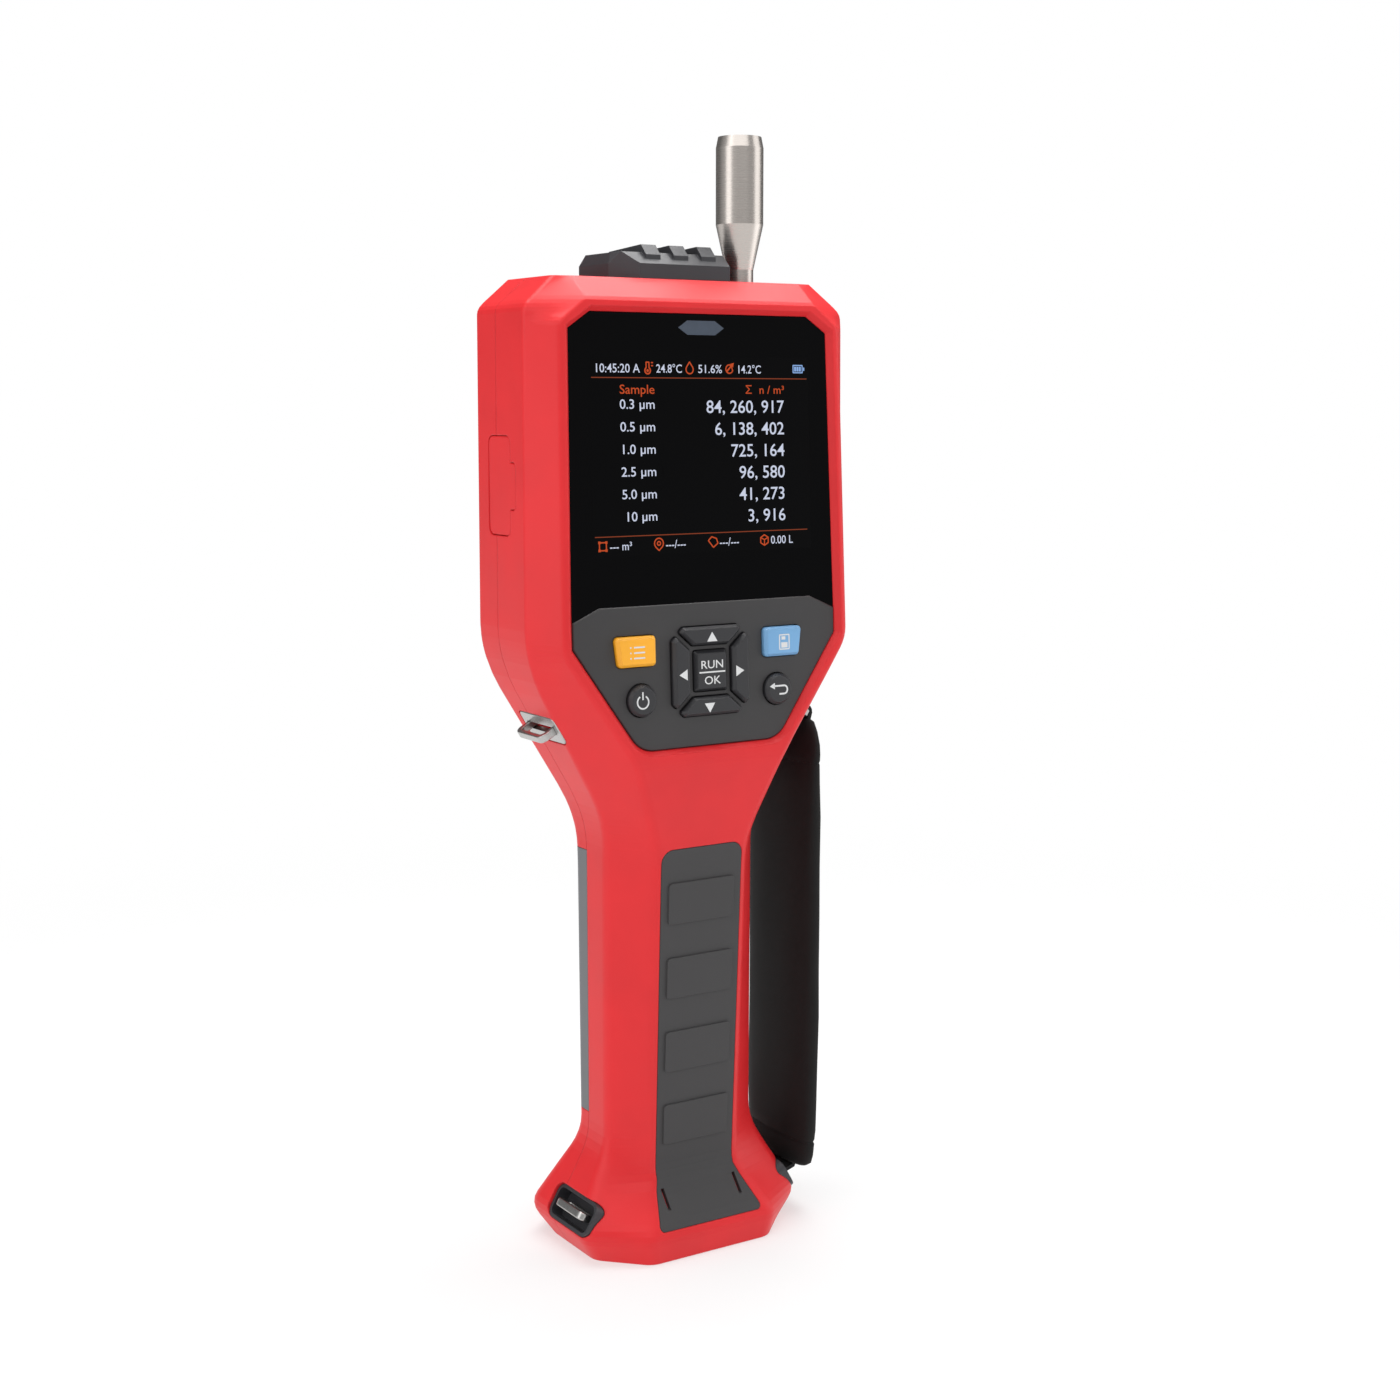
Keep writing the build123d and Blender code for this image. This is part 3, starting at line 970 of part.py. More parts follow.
bevel_start = GUARD_HEIGHT - GUARD_BEVEL_HEIGHT
fin_low = GUARD_FRONT + FIN_BACK
with BuildPart() as sensor_guard:
    extrude(guard_outline(Z_TOP, 0, 0), amount=bevel_start)
    loft([guard_outline(Z_TOP + bevel_start, 0, 0), guard_outline(Z_TOP + GUARD_HEIGHT, 0, GUARD_BEVEL)], ruled=True)
    extrude(guard_outline(Z_TOP, GUARD_WALL, 0), amount=GUARD_HEIGHT - GUARD_ROOF, mode=Mode.SUBTRACT)
    with BuildSketch(Plane.YZ.offset(FIN_FIRST - FIN / 2)) as fin_side:
        with BuildLine():
            Polyline(
                (fin_low, Z_TOP + bevel_start / 2), (fin_low, Z_TOP + FIN_FACE + bevel_start / 2),
                (fin_low + FIN_HEIGHT - FIN_FACE - bevel_start / 2, Z_TOP + FIN_HEIGHT),
                (fin_low + FIN_LENGTH, Z_TOP + FIN_HEIGHT), (fin_low + FIN_LENGTH, Z_TOP + GUARD_HEIGHT - 1),
                (fin_low + GUARD_WALL, Z_TOP + GUARD_HEIGHT - 1), (fin_low + GUARD_WALL, Z_TOP + bevel_start / 2),
                close=True)
        make_face()
    for k in range(FIN_COUNT):
        extrude(Pos(k * FIN_PITCH, 0, 0) * fin_side.sketch, amount=FIN)
    slots = [(FIN_FIRST + (k + 0.5) * FIN_PITCH, fin_low + FIN_LENGTH / 2 + 1) for k in range(FIN_COUNT - 1)]
    with BuildSketch(Plane.XY.offset(Z_TOP + GUARD_HEIGHT - GUARD_ROOF)):
        with Locations(*slots):
            SlotOverall(FIN_LENGTH - 6, AIR_SLOT, rotation=90)
    extrude(amount=FIN_HEIGHT, mode=Mode.SUBTRACT)

with BuildPart() as humidity_sensor:
    with Locations((guard_x, guard_y, Z_TOP + 0.5)):
        Box(HUMID_LENGTH, HUMID_WIDTH, 1.0)
    with Locations((guard_x, guard_y, Z_TOP + 1.5)):
        Box(3, 3, 1)

with BuildPart() as tripod_insert:
    with BuildSketch(Plane.XZ.offset(-HEAD_REAR)):
        with Locations((0, Z_NECK + INSERT_RISE)):
            Circle(INSERT_DIAMETER / 2)
            Circle(INSERT_BORE / 2, mode=Mode.SUBTRACT)
    extrude(amount=INSERT_LENGTH)

# ---------------------------------------------------------------- write the pieces
pieces = {
    "front_housing": front_housing.part,
    "rear_housing": rear_housing.part,
    "display_window": display_window.part,
    "status_lens": status_lens.part,
    "lcd_module": lcd_module.part,
    "keypad_panel": keypad_panel.part,
    "keypad_mat": keypad_mat.part,
    "main_board": main_board.part,
    "board_screws": board_screws.part,
    "buzzer": buzzer.part,
    "front_grip": front_grip.part,
    "battery_cover": battery_cover.part,
    "battery_pack": battery_pack.part,
    "cover_screws": cover_screws.part,
    "housing_screws": housing_screws.part,
    "usb_cover": usb_cover.part,
    "usb_port": usb_port.part,
    "port_board": port_board.part,
    "upper_right_loop": upper_loop.part,
    "upper_left_loop": mirror(upper_loop.part, about=Plane.YZ),
    "lower_right_loop": lower_loop.part,
    "lower_left_loop": mirror(lower_loop.part, about=Plane.YZ),
    "upper_right_bezel": upper_bezel.part,
    "upper_left_bezel": mirror(upper_bezel.part, about=Plane.YZ),
    "lower_right_cup": lower_cup.part,
    "lower_left_cup": mirror(lower_cup.part, about=Plane.YZ),
    "strap_webbing": strap_webbing.part,
    "strap_sleeve": strap_sleeve.part,
    "inlet_probe": inlet_probe.part,
    "inlet_nipple": inlet_nipple.part,
    "sample_tube": sample_tube.part,
    "optical_sensor": optical_sensor.part,
    "laser_module": laser_module.part,
    "air_pump": air_pump.part,
    "exhaust_filter": exhaust_filter.part,
    "sensor_guard": sensor_guard.part,
    "humidity_sensor": humidity_sensor.part,
    "tripod_insert": tripod_insert.part,
}
pieces.update({name: key.part for name, key in keys.items()})
for name, piece in pieces.items():
    piece.label = name
    export_step(piece, f"parts/{name}.step")
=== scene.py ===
# %% [markdown]
# # A hand-held air particle counter
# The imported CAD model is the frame: every hard piece is already there at its real size. This lesson
# dresses it. The hard pieces keep their meshes and get finishes, and the soft strap, the printed
# marks and the lit picture on the screen are modelled here, because CAD is the wrong tool for them.

# %% Load the frame
import json
from math import cos, radians, sin, tau

import bmesh
import bpy
from mathutils import Matrix, Vector


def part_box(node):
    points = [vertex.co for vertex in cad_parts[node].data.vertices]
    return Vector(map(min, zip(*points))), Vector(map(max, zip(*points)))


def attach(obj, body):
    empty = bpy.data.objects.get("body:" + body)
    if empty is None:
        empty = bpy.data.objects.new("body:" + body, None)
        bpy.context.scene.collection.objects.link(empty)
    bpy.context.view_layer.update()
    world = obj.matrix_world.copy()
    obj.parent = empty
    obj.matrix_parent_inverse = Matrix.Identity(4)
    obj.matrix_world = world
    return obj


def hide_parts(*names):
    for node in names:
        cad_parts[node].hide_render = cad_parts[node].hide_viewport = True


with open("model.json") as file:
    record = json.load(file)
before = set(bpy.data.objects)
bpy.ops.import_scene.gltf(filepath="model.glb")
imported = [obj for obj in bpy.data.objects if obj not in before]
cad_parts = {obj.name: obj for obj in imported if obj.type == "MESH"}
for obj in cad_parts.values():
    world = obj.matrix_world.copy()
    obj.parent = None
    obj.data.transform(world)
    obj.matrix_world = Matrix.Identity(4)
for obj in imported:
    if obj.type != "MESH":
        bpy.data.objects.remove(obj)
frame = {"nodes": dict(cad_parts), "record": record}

scene = bpy.context.scene
nodes = frame["nodes"]
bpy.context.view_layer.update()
MM = 0.001

# %% [markdown]
# ## Colours and nodes
# Colours are written as the hex values a paint chart would give, and one function turns them into the
# linear values that Cycles works with. A second small function adds any shader node, sets its inputs
# and links it, so that every material below reads as a short recipe.

# %% Colour and node helpers
def linear(code):
    """sRGB hex, such as "E0363B", as a linear RGBA tuple."""
    channels = [int(code[k:k + 2], 16) / 255 for k in (0, 2, 4)]
    light = [c / 12.92 if c <= 0.04045 else ((c + 0.055) / 1.055) ** 2.4 for c in channels]
    return tuple(light) + (1.0,)


def add_node(tree, kind, inputs=None, **settings):
    """One shader or geometry node; an input's value may be an output socket, which is linked."""
    node = tree.nodes.new(kind)
    for name, value in settings.items():
        setattr(node, name, value)
    for name, value in (inputs or {}).items():
        if isinstance(value, bpy.types.NodeSocket):
            tree.links.new(value, node.inputs[name])
        else:
            node.inputs[name].default_value = value
    return node


def new_material(name, colour, roughness, **sockets):
    """A Principled material; sockets holds further inputs by their names with _ for a space."""
    material = bpy.data.materials.new(name)
    material.use_nodes = True
    tree = material.node_tree
    shader = tree.nodes["Principled BSDF"]
    shader.inputs["Base Color"].default_value = linear(colour)
    shader.inputs["Roughness"].default_value = roughness
    for socket, value in sockets.items():
        shader.inputs[socket.replace("_", " ")].default_value = value
    return material, tree, shader


def texture_space(tree, scale=(1, 1, 1)):
    """Object coordinates in metres, stretched by scale."""
    place = add_node(tree, "ShaderNodeTexCoord")
    stretched = {"Vector": place.outputs["Object"], "Scale": scale}
    return add_node(tree, "ShaderNodeMapping", stretched).outputs[0]


def noise(tree, space, scale, detail=2.0):
    """The value of a noise texture."""
    inputs = {"Vector": space, "Scale": scale, "Detail": detail}
    return add_node(tree, "ShaderNodeTexNoise", inputs).outputs["Fac"]


def remap(tree, value, low, high, start=0.0, stop=1.0, **settings):
    """A value that runs from start to stop, spread from low to high."""
    ends = {"Value": value, "From Min": start, "From Max": stop, "To Min": low, "To Max": high}
    return add_node(tree, "ShaderNodeMapRange", ends, **settings).outputs[0]


def ramp(tree, value, low, high):
    """A colour between two linear colours."""
    node = add_node(tree, "ShaderNodeValToRGB", {"Fac": value})
    node.color_ramp.elements[0].color = low
    node.color_ramp.elements[1].color = high
    return node.outputs[0]


def feed(tree, shader, **outputs):
    """Links each output to the shader's input of that name, with _ for a space."""
    for socket, output in outputs.items():
        tree.links.new(output, shader.inputs[socket.replace("_", " ")])


print("mid grey 808080 is linear", round(linear("808080")[0], 3))

# %% [markdown]
# ## Moulded plastics
# A moulding takes the surface of its steel tool. The red shells are ABS from a spark-eroded tool: a
# grain of about a third of a millimetre that makes highlights soft and wide. Real edges are never
# sharp either, so a Bevel node rounds the normals near each edge, without touching the frame's mesh.

# %% Moulded plastics
def moulded(name, colour, roughness, grain_mm, depth_mm, edge_mm, mottle=0.04, **sockets):
    """Plastic or rubber with a tool grain, rounded edges and a slight unevenness of tone."""
    material, tree, shader = new_material(name, colour, roughness, **sockets)
    space = texture_space(tree)
    grain = noise(tree, space, 1 / (grain_mm * MM), 3.0)
    edge = add_node(tree, "ShaderNodeBevel", {"Radius": edge_mm * MM}, samples=6)
    bump = add_node(tree, "ShaderNodeBump", {
        "Height": grain, "Distance": depth_mm * MM, "Strength": 0.6, "Normal": edge.outputs[0]})
    cloud = noise(tree, space, 60.0)
    level = remap(tree, cloud, 1 - mottle, 1 + mottle, 0.3, 0.7)
    tone = add_node(tree, "ShaderNodeHueSaturation", {"Color": linear(colour), "Value": level})
    worn = remap(tree, cloud, roughness - 0.05, roughness + 0.05)
    feed(tree, shader, Base_Color=tone.outputs[0], Roughness=worn, Normal=bump.outputs[0])
    return material


finishes = {  # name, colour, roughness, then grain, its depth and the edge radius in millimetres
    # spark-eroded ABS: bright, with wide soft highlights
    "red_abs": moulded(
        "red_abs_spark_eroded", "DE262B", 0.42, 0.30, 0.012, 0.5, Specular_IOR_Level=0.35),
    # thermoplastic rubber: dull, slightly grey, takes no highlight
    "dark_rubber": moulded("grip_rubber_grained", "3C3B3C", 0.62, 0.45, 0.03, 0.25),
    "key_panel": moulded("keypad_abs_satin", "353435", 0.45, 0.20, 0.008, 0.2),
    "grey_key": moulded("key_silicone_black", "2A2A2D", 0.42, 0.25, 0.006, 0.5),
    "orange_key": moulded("key_silicone_orange", "FCB12A", 0.35, 0.25, 0.005, 0.5),
    "blue_key": moulded("key_silicone_blue", "78ACD9", 0.35, 0.25, 0.005, 0.5),
    "grey_abs": moulded("cover_abs_grey", "6C6E71", 0.5, 0.30, 0.015, 0.3),
    "dark_abs": moulded("guard_nylon_black", "333337", 0.42, 0.45, 0.025, 0.2),
    "silicone": moulded("silicone_clear", "C3C6C4", 0.35, 0.5, 0.004, 0.2),
    "battery_film": moulded("pvc_shrink_film", "20304E", 0.25, 0.6, 0.004, 0.3),
}
print("moulded finishes", len(finishes))

# %% [markdown]
# ## Glass and lens
# The cover glass is printed black on its back, so it shows only gloss and what lies on it. The status
# light sits in it as a milky window, and here it is off.

# %% Glass and lens
window, window_tree, window_shader = new_material(
    "glass_black_printed", "030304", 0.06, IOR=1.5, Specular_IOR_Level=0.1)
smears = noise(window_tree, texture_space(window_tree), 45.0, 4.0)
feed(window_tree, window_shader, Roughness=remap(window_tree, smears, 0.05, 0.11, 0.4, 0.8))
finishes["black_glass"] = window
finishes["screen"] = window

lens, lens_tree, lens_shader = new_material("polycarbonate_milky", "414B59", 0.25, IOR=1.58)
clouds = noise(lens_tree, texture_space(lens_tree), 300.0)
milk = ramp(lens_tree, clouds, linear("3C4654"), linear("475261"))
feed(lens_tree, lens_shader, Base_Color=milk)
finishes["milky_lens"] = lens
print("glass and lens", window.name, lens.name)

# %% [markdown]
# ## Metals
# The air inlet is stainless steel turned on a lathe. The tool leaves fine rings round the axis, so its
# noise is stretched: long across the axis and short along it. The strap rings are zinc castings with
# a satin nickel plate, and the screws and inserts are plain plated parts.

# %% Metals
METAL_RELIEF = 0.006 * MM


def turned(name, colour, roughness, ring_mm):
    """Metal with lathe rings, ring_mm apart along Z."""
    material, tree, shader = new_material(name, colour, roughness, Metallic=1.0)
    rings = noise(tree, texture_space(tree, (6.0, 6.0, 1 / (ring_mm * MM))), 1.0)
    bump = add_node(tree, "ShaderNodeBump", {
        "Height": rings, "Distance": METAL_RELIEF, "Strength": 0.25})
    shine = remap(tree, rings, roughness - 0.06, roughness + 0.1)
    feed(tree, shader, Roughness=shine, Normal=bump.outputs[0])
    return material


def plated(name, colour, roughness, grain_mm=0.3):
    """Cast or cold-headed metal with a satin plate."""
    material, tree, shader = new_material(name, colour, roughness, Metallic=1.0)
    grain = noise(tree, texture_space(tree), 1 / (grain_mm * MM))
    edge = add_node(tree, "ShaderNodeBevel", {"Radius": 0.2 * MM}, samples=4)
    bump = add_node(tree, "ShaderNodeBump", {
        "Height": grain, "Distance": METAL_RELIEF, "Normal": edge.outputs[0]})
    shine = remap(tree, grain, roughness - 0.05, roughness + 0.08)
    feed(tree, shader, Roughness=shine, Normal=bump.outputs[0])
    return material


finishes["stainless"] = turned("stainless_turned", "C6BFB9", 0.26, 0.12)
finishes["zinc"] = plated("zinc_satin_nickel", "B9B8B6", 0.28)
finishes["screw_steel"] = plated("steel_black_zinc", "55565A", 0.35)
finishes["brass"] = plated("brass_turned", "B58B45", 0.3)
finishes["black_aluminium"] = plated("aluminium_anodised_black", "1B1B1D", 0.4)
finishes["board"] = moulded("fibreglass_solder_mask", "123F26", 0.35, 0.6, 0.01, 0.1)

for row in frame["record"]["subparts"]:
    if row["material_slot"] in finishes:
        mesh = nodes[row["node"]].data
        mesh.materials.clear()
        mesh.materials.append(finishes[row["material_slot"]])
print("finishes", sorted(finishes))

# %% [markdown]
# ## A way to draw on the face
# The screen and keypad lie in one plane that leans back by 2.4 degrees. Marks on it are drawn in plain
# face millimetres, u to the right and v upwards from the middle of the screen, and one function puts a
# point of that drawing into the frame. Marks are printed ink, so each is a film a few hundredths thick.

# %% The leaning face
FACE_MIDDLE = Vector((0, -23.0, 225.5)) * MM
FACE_LEAN = radians(2.4)
FACE_UP = Vector((0, sin(FACE_LEAN), cos(FACE_LEAN)))
FACE_OUT = Vector((0, -cos(FACE_LEAN), sin(FACE_LEAN)))
KEY_TOP, START_TOP, GLASS_TOP = 2.3, 1.8, 0.0
INK = 0.03


def on_face(u, v, height):
    """A point of the face drawing, in millimetres, as a point of the frame in metres."""
    return FACE_MIDDLE + MM * (Vector((u, 0, 0)) + v * FACE_UP + height * FACE_OUT)


def new_piece(name, mesh, body):
    """A finished mesh as a piece that rides on a body."""
    piece = bpy.data.objects.new(name, mesh)
    scene.collection.objects.link(piece)
    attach(piece, body)
    return piece


def ink(name, shapes, height, material, body):
    """Prints flat shapes, each a list of (u, v) corners, as one thin film on the face."""
    mesh = bpy.data.meshes.new(name)
    work = bmesh.new()
    for shape in shapes:
        top = [work.verts.new(on_face(u, v, height + INK)) for u, v in shape]
        low = [work.verts.new(on_face(u, v, height + INK / 6)) for u, v in shape]
        work.faces.new(top)
        work.faces.new(low[::-1])
        for k in range(len(shape)):
            after = (k + 1) % len(shape)
            work.faces.new((top[k], low[k], low[after], top[after]))
    bmesh.ops.recalc_face_normals(work, faces=work.faces)
    work.to_mesh(mesh)
    work.free()
    mesh.materials.append(material)
    return new_piece(name, mesh, body)


print("face middle mm", [round(c / MM, 1) for c in FACE_MIDDLE])

# %% [markdown]
# ## Lines and simple shapes
# Every mark is a set of flat shapes: quads that follow a line or an arc, rectangles and polygons.

# %% Lines and simple shapes
RUN_ON = 0.3  # how far a line runs on past its ends, as a share of half its width


def stroke(points, width):
    """Quads that draw a line of the given width through (u, v) points."""
    quads = []
    for (u0, v0), (u1, v1) in zip(points, points[1:]):
        along = Vector((u1 - u0, v1 - v0)).normalized() * width / 2
        across = Vector((-along.y, along.x))
        start, end = Vector((u0, v0)) - along * RUN_ON, Vector((u1, v1)) + along * RUN_ON
        corners = start + across, start - across, end - across, end + across
        quads.append([tuple(corner) for corner in corners])
    return quads


def outline(points, width=0.35):
    """A closed line through points."""
    return stroke(list(points) + [points[0]], width)


def arc(u, v, radius, start, end, steps=18):
    """Points on an arc, angles in degrees."""
    angles = [radians(start + (end - start) * k / steps) for k in range(steps + 1)]
    return [(u + radius * cos(a), v + radius * sin(a)) for a in angles]


def band(u, v, radius, width, start, end, steps=24):
    """An arc of the given width as quads."""
    inside = arc(u, v, radius - width / 2, start, end, steps)
    outside = arc(u, v, radius + width / 2, start, end, steps)
    return [[inside[k], inside[k + 1], outside[k + 1], outside[k]] for k in range(steps)]


def rectangle(u, v, width, height):
    """Corners of a rectangle about (u, v)."""
    return [(u - width / 2, v - height / 2), (u + width / 2, v - height / 2),
            (u + width / 2, v + height / 2), (u - width / 2, v + height / 2)]


print("quads in a ring", len(band(0, 0, 1.0, 0.2, 0, 360)))

# %% [markdown]
# ## Printed key marks
# Screen-printed ink: matt and nearly white, with a fine speckle. Each mark rides on its own key, so
# it sinks with the key when that is pressed.

# %% Key marks
white_ink, ink_tree, ink_shader = new_material("ink_white_printed", "DDDEDE", 0.5)
speckle = noise(ink_tree, texture_space(ink_tree), 4000.0)
opacity = ramp(ink_tree, speckle, linear("CFD0D1"), linear("EAEBEB"))
feed(ink_tree, ink_shader, Base_Color=opacity)

CROSS_V = -58.6  # the middle of the start key and its four arrows
MENU_U, MENU_V, MENU_STEP = -23.3, -52.2, 1.45
SAVE_U, SAVE_V = 23.8, -52.2
POWER_U, POWER_V, RING = -22.6, -65.6, 1.75
BACK_U, BACK_V, BEND = 23.4, -65.55, 1.15
ARROW, FINE, BOLD = 1.75, 0.42, 0.5


def triangle(u, v, turn, widen=1.0):
    """An arrow head that points along turn, in degrees from the right."""
    corners = arc(u, v, ARROW, turn, turn + 240, 2)
    return [(corner_u * widen, corner_v) for corner_u, corner_v in corners]


key_marks = {
    "up_key": [triangle(-0.1, CROSS_V + 8.9, 90, 1.1)],
    "down_key": [triangle(-1.2, CROSS_V - 9.7, 270, 1.1)],
    "left_key": [triangle(-9.2, CROSS_V - 0.6, 180)],
    "right_key": [triangle(8.4, CROSS_V - 0.6, 0)],
    "menu_key": [
        rectangle(u, MENU_V + MENU_STEP * k, width, FINE)
        for k in (-1, 0, 1) for u, width in ((MENU_U, 3.4), (MENU_U - 2.7, FINE))],
    "power_key": (
        band(POWER_U, POWER_V, RING, FINE, 120, 420)
        + stroke([(POWER_U, POWER_V + 0.7), (POWER_U, POWER_V + 2.7)], FINE)),
    "back_key": (
        stroke([(BACK_U - 3.2, BACK_V + BEND), (BACK_U, BACK_V + BEND)], BOLD)
        + band(BACK_U, BACK_V, BEND, BOLD, 90, -90)
        + stroke([(BACK_U, BACK_V - BEND), (BACK_U - 1.5, BACK_V - BEND)], BOLD)
        + [[(BACK_U - 3.1, BACK_V + BEND + 0.9), (BACK_U - 4.8, BACK_V + BEND),
            (BACK_U - 3.1, BACK_V + BEND - 0.9)]]),
    "save_key": (
        outline(rectangle(SAVE_U, SAVE_V, 3.2, 4.0))
        + [rectangle(SAVE_U, SAVE_V - 0.85, 2.1, 1.5),
           rectangle(SAVE_U - 0.3, SAVE_V + 1.1, 1.3, 0.9)]),
}
for key, shapes in key_marks.items():
    ink(key + "_mark", shapes, KEY_TOP, white_ink, key)
start_line = [rectangle(0, CROSS_V - 0.4, 8.4, 0.4)]
ink("start_key_line", start_line, START_TOP, white_ink, "start_key")
print("marks", len(key_marks) + 1)

# %% [markdown]
# ## Lettering
# Blender's own font makes the numbers. A text object is turned into a mesh first and its corners are
# then moved into the face, so that the finished piece sits at the origin like every other.

# %% Lettering
CAPITAL = 0.70  # height of a digit as a share of the font size


def finished_mesh(source):
    """The mesh of a text or of an object with its modifiers, which is then removed."""
    bpy.context.view_layer.update()
    final = source.evaluated_get(bpy.context.evaluated_depsgraph_get())
    mesh = bpy.data.meshes.new_from_object(final)
    bpy.data.objects.remove(source)
    return mesh


def lettering(name, words, u, v, size, height, material, body, align="LEFT", squeeze=1.0):
    """Flat text on the face; size is the height of a digit, in millimetres."""
    curve = bpy.data.curves.new(name + "_text", "FONT")
    curve.body = words
    curve.size = size / CAPITAL
    curve.align_x = align
    curve.resolution_u = 3
    curve.offset = size * 0.008
    source = bpy.data.objects.new(name + "_text", curve)
    scene.collection.objects.link(source)
    mesh = finished_mesh(source)
    for corner in mesh.vertices:
        corner.co = on_face(u + corner.co.x * squeeze, v - size / 2 + corner.co.y, height + INK)
    mesh.materials.clear()
    mesh.materials.append(material)
    return new_piece(name, mesh, body)


for row, word, above in (("top", "RUN", 1.75), ("low", "OK", -2.6)):
    piece = lettering(f"start_key_{row}_word", word, 0, CROSS_V + above, 2.2, START_TOP, white_ink,
                      "start_key", "CENTER", 1.15)
    print(piece.name, "faces", len(piece.data.polygons))

# %% [markdown]
# ## The lit picture
# The display shines through the black glass. A nearly black film marks its lit area, and what it shows
# lies on it as emission, at a strength just under one, so that each colour stays what it is.

# %% The lit picture
def glowing(name, colour, strength):
    """A shader that gives light of one colour and almost no reflection."""
    material, tree, shader = new_material(name, "000000", 0.3, Specular_IOR_Level=0.05)
    shader.inputs["Emission Color"].default_value = linear(colour)
    shader.inputs["Emission Strength"].default_value = strength
    dots = remap(tree, noise(tree, texture_space(tree), 5000.0), 0.25, 0.35)
    feed(tree, shader, Roughness=dots)
    return material


PIXEL = 0.9  # strength of a lit pixel
pixel_white = glowing("pixels_white", "D3DAEE", PIXEL)
pixel_orange = glowing("pixels_orange", "C8502A", PIXEL)
pixel_rust = glowing("pixels_rust", "8B4028", PIXEL)
pixel_blue = glowing("pixels_blue", "8FB3E8", PIXEL)
back_light = glowing("pixels_black", "060607", 1.0)
PICTURE_WIDTH, PICTURE_HEIGHT = 70.08, 52.56
HEAD_V, COLUMN_V, FOOT_V = 23.1, 17.6, -23.7
ink("picture_field", [rectangle(0, 0, PICTURE_WIDTH, PICTURE_HEIGHT)], GLASS_TOP - INK * 0.9,
    back_light, "housing")
print("picture mm", PICTURE_WIDTH, PICTURE_HEIGHT)

# %% [markdown]
# ## Counts and readings
# Six rows give the number of particles of each size, and a line above and below gives the time, the
# climate and the volume. Each word is squeezed a little to the width that it has on the display.

# %% Counts and readings
def screen_text(name, words, u, v, size, material=pixel_white, align="LEFT", squeeze=1.0):
    """A word on the screen."""
    return lettering(
        name, words, u, v, size, GLASS_TOP, material, "housing", align, squeeze)


ROW_TOP, ROW_STEP, SIZE_END, COUNT_END = 13.0, 5.94, -15.1, 26.7
rows = [("0.3", "84, 260, 917"), ("0.5", "6, 138, 402"), ("1.0", "725, 164"), ("2.5", "96, 580"),
        ("5.0", "41, 273"), ("10", "3, 916")]
for k, (size_word, count_word) in enumerate(rows):
    row_v = ROW_TOP - ROW_STEP * k
    screen_text(f"row_{k + 1}_size", size_word + " µm", SIZE_END, row_v + 0.7, 2.5,
                align="RIGHT", squeeze=1.1)
    screen_text(f"row_{k + 1}_count", count_word, COUNT_END, row_v, 3.4, align="RIGHT", squeeze=1.06)
readings = {  # name: words, left end, middle height, digit height, squeeze
    "clock_digits": ("10:45:20 A", -33.6, HEAD_V, 2.3, 0.97),
    "warmth_digits": ("24.8°C", -14.6, HEAD_V, 2.2, 0.93),
    "moisture_digits": ("51.6%", -1.4, HEAD_V, 2.2, 1.04),
    "dew_digits": ("14.2°C", 11.2, HEAD_V, 2.2, 0.91),
    "foot_1": ("--- m³", -30.3, FOOT_V, 2.2, 0.95),
    "foot_2": ("---/---", -12.9, FOOT_V, 2.2, 0.93),
    "foot_3": ("---/---", 4.4, FOOT_V, 2.2, 0.93),
    "foot_4": ("0.00 L", 21.4, FOOT_V, 2.2, 0.96)}
for name, (word, u, v, size, squeeze) in readings.items():
    screen_text(name, word, u, v, size, squeeze=squeeze)
columns = (("column_left", "Sample", -26.1, 2.4), ("column_sum", "Σ", 13.8, 2.2),
           ("column_right", "n / m³", 18.4, 2.2))
for name, word, u, size in columns:
    screen_text(name, word, u, COLUMN_V, size, pixel_orange, squeeze=1.12)
print("screen rows", len(rows), "readings", len(readings))

# %% [markdown]
# ## Icons
# Small outlines stand before the readings: a thermometer, a drop and a leaf at the top, and at the
# foot a square of corners, a pin, a patch and a box. The battery shows three bars.

